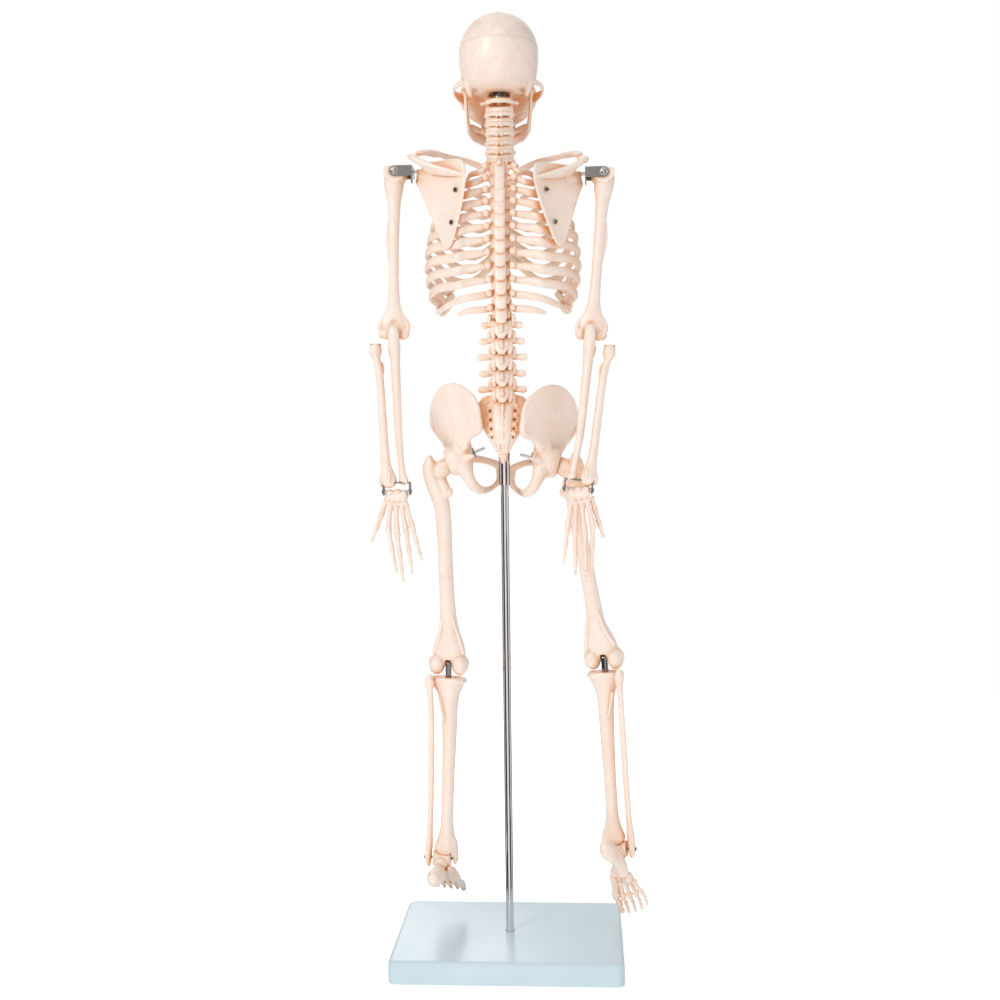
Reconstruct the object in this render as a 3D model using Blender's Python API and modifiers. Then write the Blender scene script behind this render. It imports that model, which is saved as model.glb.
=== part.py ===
"""Desktop human skeleton model, 850 mm tall, hung on a pole over a rectangular foot.

World frame: metres, +Z up, origin at the centre of the base's underside. The skeleton faces -Y and its
own left side is at +X. Bone charts are in millimetres: each helper turns them into metres as it builds.
In a limb's chart x points outward from the body's midline, y to the back and z up the bone.
"""

import math

import bmesh
import bpy
from mathutils import Matrix, Vector

MM = 0.001
GAP = 0.4

# Stand
BASE_X = 205.6
BASE_Y = 151.0
BASE_Z = 20.5
BASE_CORNER = 6.0
POLE_R = 3.5
POLE_FIT = 0.06
POLE_TOP = 515.0
SLEEVE_R = 5.0
SLEEVE_Z = (430.0, 496.0)

# Head
HEAD_PIVOT = (0.0, 4.0, 771.0)
HEAD_YAW = 4.0
BRAINCASE = (0.0, -1.0, 812.0)
BRAINCASE_R = (35.5, 44.0, 38.0)
SHELL = 3.0
CAP_CUT_Z = 816.6
JAW_PIVOT = (0.0, -2.0, 780.0)

# Spine: body centres (y, z) from the top vertebra of each region down
CERVICAL = [(5, 768), (4, 759), (3, 750.5), (2.5, 742.5), (2, 734.5), (2.5, 726.5), (3.5, 718)]
THORACIC_TOP_Z = 708.0
THORACIC_STEP = 10.0
THORACIC_GROWTH = 0.23
LUMBAR = [(6, 570), (4.5, 556), (3, 542), (2, 527.5), (2, 513.5)]

# Limb joints of each side: +1 is the skeleton's left, -1 its right
SHOULDER = {1: (93.5, 8.5, 709.0), -1: (-91.0, 10.0, 703.5)}
ELBOW = {1: (97.0, 9.0, 566.5), -1: (-79.0, 18.0, 562.5)}
WRIST = {1: (96.4, 9.5, 425.5), -1: (-66.5, 38.0, 427.5)}
HIP = {1: (43.5, 0.0, 453.0), -1: (-41.5, 0.0, 450.0)}
KNEE = {1: (53.0, -1.0, 266.5), -1: (-88.5, -1.0, 271.5)}
ANKLE = {1: (59.6, 3.0, 88.5), -1: (-98.0, 3.0, 98.5)}
SCAPULA_YAW = {1: 34.0, -1: 42.0}
HIP_BOLT_RISE = {1: 22.0, -1: 15.0}
HAND_TILT = {1: -1.0, -1: 6.0}
LEG_YAW = {1: -4.0, -1: 14.0}
FOOT_DROP = {1: 22.0, -1: 48.0}
FOOT_TURN_OUT = {1: 0.0, -1: 0.085}
TOE_FAN = {1: 1.0, -1: 1.32}
SIDE_NAME = {1: "left", -1: "right"}

# Joint sizes
HEAD_R = 10.0
STRAP_HALF = 10.0
PLATE_X = 16.2
TROCHLEA_R = 5.0
FEMUR_HEAD_R = 10.3
SOCKET_R = 11.5
CONDYLE_R = 9.8
TALUS_R = 7.6

IVORY = (0.93, 0.83, 0.69)
CARTILAGE = (0.90, 0.79, 0.62)
STEEL = (0.62, 0.62, 0.64)
DARK_STEEL = (0.20, 0.20, 0.22)
BASE_BLUE = (0.62, 0.72, 0.77)


# ---------------------------------------------------------------- helpers

def clear_scene():
    for old in list(bpy.data.objects):
        bpy.data.objects.remove(old, do_unlink=True)


def collection(name):
    made = bpy.data.collections.new(name)
    bpy.context.scene.collection.children.link(made)
    return made


clear_scene()
PARTS = collection("human_skeleton_model")
CUTTERS = collection("cutters")


def material(name, colour, roughness, metallic):
    made = bpy.data.materials.new(name)
    made.use_nodes = True
    shader = made.node_tree.nodes["Principled BSDF"]
    shader.inputs["Base Color"].default_value = (*colour, 1.0)
    shader.inputs["Roughness"].default_value = roughness
    shader.inputs["Metallic"].default_value = metallic
    made.diffuse_color = (*colour, 1.0)
    return made


BONE_LOOK = (IVORY, 0.35, 0.0)
STEEL_LOOK = (STEEL, 0.25, 1.0)
DARK_LOOK = (DARK_STEEL, 0.4, 1.0)


class Frame:
    """A chart's place in the world: origin and axes; x may point to either side."""

    def __init__(self, origin, x=(1, 0, 0), y=(0, 1, 0), z=(0, 0, 1)):
        self.origin = Vector(origin)
        self.x = Vector(x)
        self.y = Vector(y)
        self.z = Vector(z)

    def __call__(self, point):
        px, py, pz = point
        return (self.origin + px * self.x + py * self.y + pz * self.z) * MM


def side_frame(side):
    """The trunk's chart on one side: x outward, y back, z up, from the world's origin."""
    return Frame((0, 0, 0), x=(side, 0, 0))


def bone_frame(side, top, bottom, yaw=0.0, tilt=0.0):
    """A long bone's chart: z runs from its lower joint up to its upper joint at the origin."""
    up = (Vector(top) - Vector(bottom)).normalized()
    turn = Matrix.Rotation(math.radians(yaw) * side, 3, "Z")
    out = turn @ Vector((side, 0, 0))
    out = (out - out.dot(up) * up).normalized()
    back = up.cross(out) * side
    swing = Matrix.Rotation(math.radians(tilt) * -side, 3, back)
    return Frame(top, swing @ out, back, swing @ up)


def length(top, bottom):
    return (Vector(top) - Vector(bottom)).length


def pair(radius):
    return radius if isinstance(radius, tuple) else (radius, radius)


def tube(bm, place, stations, sides=8, across=(1, 0, 0)):
    """A closed, tapered tube through stations (x, y, z, radius or (across, depth))."""
    points = [place(station[:3]) for station in stations]
    side_axis = (place(across) - place((0, 0, 0))).normalized()
    rings = []
    last = len(points) - 1
    for index, point in enumerate(points):
        before = points[max(index - 1, 0)]
        after = points[min(index + 1, last)]
        along = (after - before).normalized()
        wide = side_axis - side_axis.dot(along) * along
        if wide.length < 0.2:
            wide = along.orthogonal()
        wide.normalize()
        deep = along.cross(wide)
        rx, ry = pair(stations[index][3])
        ring = []
        for step in range(sides):
            angle = 2 * math.pi * step / sides
            offset = wide * (rx * MM * math.cos(angle)) + deep * (ry * MM * math.sin(angle))
            ring.append(bm.verts.new(point + offset))
        rings.append(ring)
    for low, high in zip(rings, rings[1:]):
        for step in range(sides):
            nxt = (step + 1) % sides
            bm.faces.new((low[step], low[nxt], high[nxt], high[step]))
    bm.faces.new(tuple(reversed(rings[0])))
    bm.faces.new(tuple(rings[-1]))


def smooth(points, steps):
    """A Catmull-Rom curve through points of equal length tuples, with steps spans between two."""
    out = []
    count = len(points)
    for index in range(count - 1):
        p0 = points[max(index - 1, 0)]
        p1 = points[index]
        p2 = points[index + 1]
        p3 = points[min(index + 2, count - 1)]
        for step in range(steps):
            t = step / steps
            row = []
            for a, b, c, d in zip(p0, p1, p2, p3):
                row.append(b + 0.5 * t * (c - a + t * (2 * a - 5 * b + 4 * c - d
                                                       + t * (3 * (b - c) + d - a))))
            out.append(tuple(row))
    out.append(tuple(points[-1]))
    return out


def ball(bm, place, centre, radii, detail=2):
    """An ellipsoid; radii are along the chart's axes."""
    rx, ry, rz = radii if isinstance(radii, tuple) else (radii, radii, radii)
    at = place(centre)
    made = bmesh.ops.create_icosphere(bm, subdivisions=detail, radius=1.0)
    for vert in made["verts"]:
        x, y, z = vert.co
        vert.co = at + (place.x * x * rx + place.y * y * ry + place.z * z * rz) * MM


def drum(bm, place, start, end, radius, sides=16, radius_end=None):
    """A cylinder or cone between two chart points."""
    a = place(start)
    b = place(end)
    turn = (b - a).to_track_quat("Z", "Y").to_matrix().to_4x4()
    final = radius if radius_end is None else radius_end
    bmesh.ops.create_cone(bm, cap_ends=True, segments=sides, radius1=radius * MM, radius2=final * MM,
                          depth=(b - a).length, matrix=Matrix.Translation((a + b) / 2) @ turn)


def brick(bm, place, low, high):
    """A box between two chart corners."""
    made = bmesh.ops.create_cube(bm, size=1.0)
    for vert in made["verts"]:
        spot = []
        for axis in range(3):
            spot.append(low[axis] if vert.co[axis] < 0 else high[axis])
        vert.co = place(spot)


def slab(bm, place, outline, thickness):
    """A flat plate of (x, z) outline points, thick along the chart's y."""
    front = [bm.verts.new(place((x, -thickness / 2, z))) for x, z in outline]
    rear = [bm.verts.new(place((x, thickness / 2, z))) for x, z in outline]
    count = len(outline)
    for index in range(count):
        nxt = (index + 1) % count
        bm.faces.new((front[index], front[nxt], rear[nxt], rear[index]))
    bm.faces.new(tuple(reversed(front)))
    bm.faces.new(tuple(rear))


def to_object(name, bm, look, target=None):
    bmesh.ops.recalc_face_normals(bm, faces=bm.faces)
    if bm.calc_volume(signed=True) < 0:
        bmesh.ops.reverse_faces(bm, faces=bm.faces)
    mesh = bpy.data.meshes.new(name)
    bm.to_mesh(mesh)
    bm.free()
    made = bpy.data.objects.new(name, mesh)
    (target or PARTS).objects.link(made)
    if look is not None:
        mesh.materials.append(material(name, *look))
    return made


def evaluated(thing):
    """Replaces an object's mesh by the one its modifiers make."""
    bpy.context.view_layer.update()
    graph = bpy.context.evaluated_depsgraph_get()
    mesh = bpy.data.meshes.new_from_object(thing.evaluated_get(graph))
    thing.modifiers.clear()
    thing.data = mesh
    return thing


def fused(name, bm, look, voxel, faces):
    """Overlapping solids melted into one closed skin, thinned to about the stated triangles."""
    made = to_object(name, bm, look)
    raw = made.data
    for _ in range(8):
        made.data = raw
        melt = made.modifiers.new("melt", "REMESH")
        melt.mode = "VOXEL"
        melt.voxel_size = voxel * MM
        evaluated(made)
        if is_closed(made.data):
            break
        voxel *= 0.97
    full = made.data
    ratio = faces / (2.0 * len(full.polygons))
    for _ in range(12):
        made.data = full
        thin = made.modifiers.new("thin", "DECIMATE")
        thin.ratio = min(1.0, ratio)
        evaluated(made)
        if is_closed(made.data):
            break
        ratio *= 1.04
    return made


def is_closed(mesh):
    """True if each edge joins exactly two faces."""
    bm = bmesh.new()
    bm.from_mesh(mesh)
    good = all(edge.is_manifold for edge in bm.edges) and all(vert.is_manifold for vert in bm.verts)
    bm.free()
    return good


def bodies_of(bm):
    """The separate bodies of a mesh, as lists of vertices, smallest first."""
    seen = set()
    bodies = []
    for start in bm.verts:
        if start in seen:
            continue
        seen.add(start)
        stack = [start]
        body = []
        while stack:
            vert = stack.pop()
            body.append(vert)
            for edge in vert.link_edges:
                other = edge.other_vert(vert)
                if other not in seen:
                    seen.add(other)
                    stack.append(other)
        bodies.append(body)
    return sorted(bodies, key=len)


def drop_crumbs(thing):
    """Keeps only the largest body of a mesh, without the slivers that a cut can leave."""
    bm = bmesh.new()
    bm.from_mesh(thing.data)
    for body in bodies_of(bm)[:-1]:
        bmesh.ops.delete(bm, geom=body, context="VERTS")
    bm.to_mesh(thing.data)
    bm.free()


def combine(thing, name, bm, operation):
    """Applies each body of bm to a piece in turn. EXACT fails on thinned skins, which fold in places."""
    for number, body in enumerate(bodies_of(bm)):
        single = bm.copy()
        single.verts.ensure_lookup_table()
        keep = {vert.index for vert in body}
        others = [vert for vert in single.verts if vert.index not in keep]
        bmesh.ops.delete(single, geom=others, context="VERTS")
        tool = to_object(f"{thing.name}_{name}_{number}", single, None, CUTTERS)
        tool.hide_render = True
        tool.display_type = "WIRE"
        step = thing.modifiers.new(name, "BOOLEAN")
        step.operation = operation
        step.solver = "MANIFOLD"
        step.object = tool
        evaluated(thing)
    bm.free()


def cut(thing, name, bm):
    """Takes solids out of a piece."""
    bm.verts.index_update()
    combine(thing, name, bm, "DIFFERENCE")
    drop_crumbs(thing)


def add_to(thing, name, bm):
    """Welds more solids onto a piece."""
    bm.verts.index_update()
    combine(thing, name, bm, "UNION")


def set_origin(thing, pivot):
    """Moves a piece's origin to a world point in millimetres, leaving its shape in place."""
    point = Vector(pivot) * MM
    thing.data.transform(Matrix.Translation(-point))
    thing.location = point


WORLD = Frame((0, 0, 0))


def head_frame(side=1):
    """The head's chart in world millimetres, turned a little about the neck."""
    turn = Matrix.Rotation(math.radians(HEAD_YAW), 3, "Z")
    pivot = Vector(HEAD_PIVOT)
    return Frame(pivot - turn @ pivot + Vector((1.0, 0, 0)), turn @ Vector((side, 0, 0)),
                 turn @ Vector((0, 1, 0)))


# ---------------------------------------------------------------- stand

def build_base():
    bm = bmesh.new()
    half = (BASE_X / 2, BASE_Y / 2)
    brick(bm, WORLD, (-half[0], -half[1], 0), (half[0], half[1], BASE_Z))
    upright = [e for e in bm.edges if abs(e.verts[0].co.z - e.verts[1].co.z) > MM]
    bmesh.ops.bevel(bm, geom=upright, offset=BASE_CORNER * MM, segments=3, affect="EDGES", profile=0.5)
    rim = [e for e in bm.edges if min(e.verts[0].co.z, e.verts[1].co.z) > (BASE_Z - 1) * MM]
    bmesh.ops.bevel(bm, geom=rim, offset=4.0 * MM, segments=3, affect="EDGES", profile=0.5)
    made = to_object("base", bm, (BASE_BLUE, 0.25, 0.0))
    hole = bmesh.new()
    drum(hole, WORLD, (0, 0, 6), (0, 0, BASE_Z + 5), POLE_R + 0.15, 20)
    cut(made, "socket", hole)


def build_pole():
    bm = bmesh.new()
    drum(bm, WORLD, (0, 0, 6.3), (0, 0, POLE_TOP), POLE_R, 20)
    to_object("pole", bm, STEEL_LOOK)
    bm = bmesh.new()
    drum(bm, WORLD, (0, 0, SLEEVE_Z[0]), (0, 0, SLEEVE_Z[1]), SLEEVE_R, 20)
    sleeve = to_object("pole_sleeve", bm, STEEL_LOOK)
    hole = bmesh.new()
    drum(hole, WORLD, (0, 0, SLEEVE_Z[0] - 5), (0, 0, SLEEVE_Z[1] + 5), POLE_R + POLE_FIT, 20)
    cut(sleeve, "bore", hole)


# ---------------------------------------------------------------- head

def cap_cutter(place, above):
    """The half of space over, or under, the skull cap's cut plane."""
    bm = bmesh.new()
    low, high = (CAP_CUT_Z, 900) if above else (700, CAP_CUT_Z + GAP)
    brick(bm, place, (-80, -80, low), (80, 80, high))
    return bm


def build_skull():
    place = head_frame()
    bm = bmesh.new()
    ball(bm, place, BRAINCASE, BRAINCASE_R, 4)
    tube(bm, place, [(0, -34, 802, (22, 10)), (0, -36, 785, (17, 12)), (0, -38, 770, (15.5, 13)),
                     (0, -39, 757, (13.5, 11.5))], 12)
    tube(bm, place, [(0, 22, 786, (20, 12)), (0, 8, 778, (16, 8)), (0, -14, 776, (15, 8)),
                     (0, -30, 772, (14, 9))], 10, across=(1, 0, 0))
    for side in (1, -1):
        flank = head_frame(side)
        tube(bm, flank, [(24, -38, 803, 4), (30.5, -33, 797, 3.6), (31, -31, 786, 3.8),
                         (27, -33, 777, 5), (14, -38, 772, 6)])
        tube(bm, flank, [(29, -31, 781, 4), (35, -22, 781.5, 2.6), (37.5, -11, 782, 2.2),
                         (36, 1, 783.5, 2.6), (31, 6, 787, 4)])
        tube(bm, flank, [(3, -46, 802.5, 4), (13, -45, 805, 4), (24, -39, 803, 4)])
        tube(bm, flank, [(30, 12, 788, 7), (28, 11, 779, 5), (26.5, 10, 772.5, 2.6)])
        tube(bm, flank, [(8, -20, 776, 3.4), (9, -19, 764, 2.4)])
        ball(bm, flank, (8, 1, 775.5), (4, 6, 2.6))
    skull = fused("skull", bm, BONE_LOOK, 1.0, 760)
    hollow = bmesh.new()
    rx, ry, rz = BRAINCASE_R
    ball(hollow, place, BRAINCASE, (rx - SHELL, ry - SHELL, rz - SHELL), 2)
    cut(skull, "cap_plane", cap_cutter(place, True))
    cut(skull, "brain_cavity", hollow)
    eyes = bmesh.new()
    for side in (1, -1):
        ball(eyes, head_frame(side), (14.8, -46, 792), (9.6, 15, 8.8), 2)
    cut(skull, "orbits", eyes)
    nose = bmesh.new()
    ball(nose, place, (0, -52, 776), (5.4, 13, 9.5), 2)
    cut(skull, "nasal_opening", nose)
    bore = bmesh.new()
    drum(bore, WORLD, (0, 4, 760), (0, 4, 790), 2.6, 16)
    cut(skull, "neck_bore", bore)
    flat = bmesh.new()
    drum(flat, WORLD, (0, 4, 755), (0, 4, 773.8), 21.0, 24)
    cut(skull, "neck_seat", flat)
    set_origin(skull, HEAD_PIVOT)

    dome = bmesh.new()
    ball(dome, place, BRAINCASE, BRAINCASE_R, 3)
    cap = to_object("skull_cap", dome, BONE_LOOK)
    hollow = bmesh.new()
    ball(hollow, place, BRAINCASE, (rx - SHELL, ry - SHELL, rz - SHELL), 2)
    cut(cap, "cap_plane", cap_cutter(place, False))
    cut(cap, "brain_cavity", hollow)
    set_origin(cap, place((0, -1, CAP_CUT_Z)) / MM)


def build_mandible():
    place = head_frame()
    bm = bmesh.new()
    for side in (1, -1):
        flank = head_frame(side)
        tube(bm, flank, [(28, -2, 780.5, (2.6, 2.6)), (28.3, -6, 772, (2.2, 5)), (28, -9, 762, (2.2, 8)),
                         (26.5, -12, 753, (2.4, 6.5)), (22.5, -24, 747.5, (2.6, 6)),
                         (17, -37, 746, (3, 6)), (9, -47, 745.5, (3.2, 6.4)), (0, -50, 745.5, (3.4, 6.6))],
             8, across=(1, 0, 0))
        tube(bm, flank, [(28.3, -12, 764, (2, 4)), (28.3, -15, 776, (1.6, 2.4))], 6)
        tube(bm, flank, [(16, -32, 750, 2.6), (12, -43, 751, 2.6), (0, -48.5, 751.5, 2.6)], 6)
    mandible = fused("mandible", bm, BONE_LOOK, 0.8, 340)
    set_origin(mandible, place(JAW_PIVOT) / MM)


def build_neck_bracket():
    bm = bmesh.new()
    drum(bm, WORLD, (0, 4, 771.2), (0, 4, 773.4), 7.4, 16)
    bracket = to_object("neck_bracket", bm, DARK_LOOK)
    pin = bmesh.new()
    drum(pin, WORLD, (0, 4, 764), (0, 4, 782), 1.9, 12)
    add_to(bracket, "pin", pin)


# ---------------------------------------------------------------- spine

def thoracic_levels():
    """Body centres (y, z) of the twelve thoracic vertebrae: a backward bow."""
    rows = []
    z = THORACIC_TOP_Z
    for index in range(12):
        bow = math.sin(math.pi * (index + 1.5) / 14.0)
        rows.append((3.0 + 11.0 * bow, z))
        z -= THORACIC_STEP + THORACIC_GROWTH * index
    return rows


THORACIC = thoracic_levels()


def column(bm, rows, radius, height):
    """Vertebral bodies and the discs between them along a run of (y, z) centres."""
    count = len(rows)
    stations = []
    for index, (y, z) in enumerate(rows):
        share = index / max(count - 1, 1)
        r = radius[0] + (radius[1] - radius[0]) * share
        h = height[0] + (height[1] - height[0]) * share
        stations.append((0, y, z + h / 2, (r, r * 0.8)))
        stations.append((0, y, z, (r * 0.9, r * 0.72)))
        stations.append((0, y, z - h / 2, (r, r * 0.8)))
    top = stations[0]
    foot = stations[-1]
    stations.insert(0, (0, top[1], top[2] + 4, (top[3][0] * 0.92, top[3][1] * 0.92)))
    stations.append((0, foot[1], foot[2] - 4, (foot[3][0] * 0.92, foot[3][1] * 0.92)))
    tube(bm, WORLD, stations, 12)


def build_cervical():
    bm = bmesh.new()
    column(bm, CERVICAL[1:], (6.5, 7.5), (5.0, 5.5))
    y, z = CERVICAL[0]
    tube(bm, WORLD, [(0, y, z + 2.4, (13, 8.5)), (0, y, z - 2.6, (13, 8.5))], 14)
    for side in (1, -1):
        flank = side_frame(side)
        tube(bm, flank, [(9, y, z, 3), (16.2, y + 1, z - 0.5, 1.8)], 6)
        rows = [(9.3, yy + 5.5, zz, 3.1) for yy, zz in CERVICAL]
        tube(bm, flank, rows, 8)
        for yy, zz in CERVICAL[1:]:
            tube(bm, flank, [(6, yy - 1, zz - 0.5, 2), (12.4, yy + 1, zz - 1.5, 1.8)], 6)
            tube(bm, flank, [(9, yy + 7, zz, 2.0), (1, yy + 12, zz - 2, 1.9)], 6)
    for index, (yy, zz) in enumerate(CERVICAL[1:]):
        reach = 13 + 0.9 * index
        tube(bm, WORLD, [(0, yy + 3, zz - 1, 2.6), (0, yy + 10, zz - 1, 1.9),
                         (0, yy + reach, zz - 4, 1.7)], 6)
    spine = fused("cervical_spine", bm, BONE_LOOK, 0.85, 420)
    hole = bmesh.new()
    drum(hole, WORLD, (0, 4, 763.5), (0, 4, 775), 2.3, 12)
    cut(spine, "pin_bore", hole)
    trim = bmesh.new()
    brick(trim, WORLD, (-30, -30, 770.8), (30, 30, 790))
    brick(trim, WORLD, (-8.4, -8, 700), (8.4, 12, cervical_floor()))
    cut(spine, "end_planes", trim)


def cervical_floor():
    """Height of the joint plane under the seventh cervical body."""
    return (CERVICAL[-1][1] + THORACIC[0][1]) / 2 + GAP / 2 + 0.3


def thoracic_floor():
    return (THORACIC[-1][1] + LUMBAR[0][1]) / 2


def tip_width(index):
    """Half the span of a thoracic vertebra's transverse processes."""
    return 15.0 - 0.28 * index


def build_thoracic():
    bm = bmesh.new()
    column(bm, THORACIC, (7.0, 9.4), (7.0, 9.6))
    for index, (y, z) in enumerate(THORACIC):
        drop = 9.0 - 3.5 * abs(index - 6) / 6
        tube(bm, WORLD, [(0, y + 4, z + 1, (4.0, 3.2)), (0, y + 9.5, z + 1, (2.6, 3.2)),
                         (0, y + 17.5, z - drop, (1.4, 2.0))], 6)
        for side in (1, -1):
            flank = side_frame(side)
            tube(bm, flank, [(4, y + 6, z + 1, 2.4), (tip_width(index) - 1.5, y + 11, z + 1.5, 2.0)], 6)
            tube(bm, flank, [(5, y + 9, z + 3, 2.4), (5, y + 9, z - 6, 2.2)], 6)
    spine = fused("thoracic_spine", bm, BONE_LOOK, 0.9, 640)
    trim = bmesh.new()
    brick(trim, WORLD, (-30, -30, cervical_floor() - GAP - 0.1), (30, 60, 760))
    brick(trim, WORLD, (-30, -30, 540), (30, 60, thoracic_floor() + GAP / 2))
    cut(spine, "end_planes", trim)


def build_lumbar():
    bm = bmesh.new()
    column(bm, LUMBAR, (10.0, 11.5), (11.0, 11.4))
    for y, z in LUMBAR:
        tube(bm, WORLD, [(0, y + 5, z, (2.6, 4.4)), (0, y + 12, z, (1.9, 5.0)),
                         (0, y + 21, z - 1.5, (1.8, 4.4))], 8,
             across=(1, 0, 0))
        for side in (1, -1):
            flank = side_frame(side)
            tube(bm, flank, [(6, y + 7, z + 1.5, 2.8), (14, y + 8.5, z + 1.5, 2.2),
                             (22, y + 9, z + 2.5, 1.7)], 6)
            tube(bm, flank, [(7.5, y + 10, z + 6, 3.0), (6.5, y + 12, z - 6, 3.0)], 6)
    spine = fused("lumbar_spine", bm, BONE_LOOK, 0.9, 340)
    floor = (LUMBAR[-1][1] + 500.5) / 2
    trim = bmesh.new()
    brick(trim, WORLD, (-30, -30, thoracic_floor() - GAP / 2), (30, 60, 620))
    brick(trim, WORLD, (-30, -30, 470), (30, 60, floor + GAP / 2))
    drum(trim, WORLD, (0, 0, 490), (0, 0, POLE_TOP + 0.5), POLE_R + POLE_FIT, 20)
    cut(spine, "end_planes", trim)


SACRUM_ROWS = [(0, 5, 506, (23, 8.5)), (0, 8, 497, (25, 8.5)), (0, 13, 487, (23.5, 6.5)),
               (0, 17, 477, (19, 5.5)), (0, 19, 469, (14, 4.5)), (0, 18.5, 462, (8.5, 3.6)),
               (0, 16, 456, (4.2, 2.8)), (0, 13, 451.5, (2.2, 2.2))]


def swollen_sacrum(extra):
    bm = bmesh.new()
    rows = []
    for x, y, z, (rx, ry) in SACRUM_ROWS:
        rows.append((x, y, z, (rx + extra, ry + extra)))
    tube(bm, WORLD, rows, 16)
    return bm


def build_sacrum():
    bm = swollen_sacrum(0.0)
    for level in range(4):
        z = 499 - 8.5 * level
        y = 13 + 3.2 * level
        tube(bm, WORLD, [(0, y, z, 2.4), (0, y + 5.4, z - 1.5, 2.0)], 6)
    for side in (1, -1):
        flank = side_frame(side)
        tube(bm, flank, [(9, 12, 500, 3.0), (9, 14, 509, 2.4)], 6)
    sacrum = fused("sacrum", bm, BONE_LOOK, 0.9, 220)
    trim = bmesh.new()
    floor = (LUMBAR[-1][1] + 500.5) / 2
    brick(trim, WORLD, (-40, -30, floor - GAP / 2), (40, 60, 540))
    drum(trim, WORLD, (0, 0, 430), (0, 0, 530), SLEEVE_R + GAP, 16)
    cut(sacrum, "top_and_bore", trim)


# ---------------------------------------------------------------- rib cage

RIB_WIDTH = [31, 43, 52, 59, 64, 67, 69, 69.5, 68.5, 66]
RIB_SIDE_Z = [700, 690, 680, 670, 660, 649, 637, 625, 612.5, 599.5]
RIB_FRONT_X = [17, 26, 32, 38, 43, 47, 51, 54, 57, 59]
RIB_FRONT_Y = [-38, -43, -47, -50, -50, -47, -42, -36, -31, -27]
RIB_FRONT_Z = [692, 679, 668, 656, 645, 632, 619, 607, 597, 588]
STERNUM_Z = [690, 682, 673, 664, 655, 647, 640]


def sternum_y(z):
    """Depth of the breastbone's middle at a height."""
    return -44.0 - 14.0 * (692.0 - z) / 62.0


def rib_back_y(index):
    return THORACIC[index][0] + 14.0


def rib_path(index):
    """A rib's centre line from its vertebra's transverse process to its front end."""
    y, z = THORACIC[index]
    width = RIB_WIDTH[index]
    start = tip_width(index) + 1.6
    return [(start, y + 11.5, z + 0.5), (width * 0.56, rib_back_y(index), z - 2.5),
            (width * 0.87, 8.0, (z + RIB_SIDE_Z[index]) / 2 + 1),
            (width, -10.0, RIB_SIDE_Z[index] + 1),
            (width * 0.92, -27.0, RIB_SIDE_Z[index] - 4),
            (RIB_FRONT_X[index], RIB_FRONT_Y[index], RIB_FRONT_Z[index])]


def cartilage_paths():
    """Costal cartilages: the first seven reach the breastbone, the rest join the one above."""
    paths = []
    for index in range(7):
        z = STERNUM_Z[index]
        end = (5.0, sternum_y(z), z)
        start = (RIB_FRONT_X[index], RIB_FRONT_Y[index], RIB_FRONT_Z[index])
        sag = 2.0 + 1.6 * index
        mid = ((start[0] + end[0]) / 2 + 3, (start[1] + end[1]) / 2 - 3, (start[2] + end[2]) / 2 - sag)
        paths.append([start, mid, end])
    for index in range(7, 10):
        start = (RIB_FRONT_X[index], RIB_FRONT_Y[index], RIB_FRONT_Z[index])
        above = (RIB_FRONT_X[index - 1] - 6, RIB_FRONT_Y[index - 1] - 1.5, RIB_FRONT_Z[index - 1] - 1.5)
        mid = ((start[0] + above[0]) / 2, (start[1] + above[1]) / 2 - 1, (start[2] + above[2]) / 2 - 1)
        paths.append([start, mid, above])
    return paths


def build_rib_cage():
    bm = bmesh.new()
    for side in (1, -1):
        flank = side_frame(side)
        for index in range(10):
            points = smooth(rib_path(index), 3)
            tube(bm, flank, [(*p, (2.6, 1.6)) for p in points], 6, across=(0, 0, 1))
        for path in cartilage_paths():
            tube(bm, flank, [(*p, (2.6, 2.0)) for p in smooth(path, 3)], 6, across=(0, 0, 1))
    rows = [(693, 11), (684, 10.5), (676, 7), (666, 6.4), (650, 7.6), (640, 7.4), (633, 4.5), (621, 2.6)]
    tube(bm, WORLD, [(0, sternum_y(z), z, (w, 2.4)) for z, w in rows], 10)
    fused("rib_cage", bm, BONE_LOOK, 0.8, 1900)


FLOATING = {11: [(0, 0, 0), (24, 4.5, -3), (43, -8, -8), (57, -22, -12.5)],
            12: [(0, 0, 0), (17, 4.5, -1.5), (32, 0, -4)]}

FLOATING_SECTION = (2.6, 1.7)
FLOATING_TIP = (1.2, 1.0)


def build_floating_ribs():
    for number, offsets in FLOATING.items():
        y, z = THORACIC[number - 1]
        start = (tip_width(number - 1) + 1.8, y + 11, z + 1)
        for side in (1, -1):
            bm = bmesh.new()
            points = [(start[0] + dx * 0.78, start[1] + dy, start[2] + dz) for dx, dy, dz in offsets]
            rows = [(*point, FLOATING_SECTION) for point in smooth(points, 3)]
            rows[-1] = (*rows[-1][:3], FLOATING_TIP)
            tube(bm, side_frame(side), rows, 6, across=(0, 0, 1))
            to_object(f"rib_{number}_{SIDE_NAME[side]}", bm, BONE_LOOK)


# ---------------------------------------------------------------- pelvis

def trunk_frame(side, joint, home):
    """The trunk's chart shifted so that a joint drawn at home lands on its real place."""
    shift = Vector(joint) - Vector((side * home[0], home[1], home[2]))
    return Frame(shift, x=(side, 0, 0))


HIP_HOME = (43.5, 0.0, 453.0)


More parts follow.
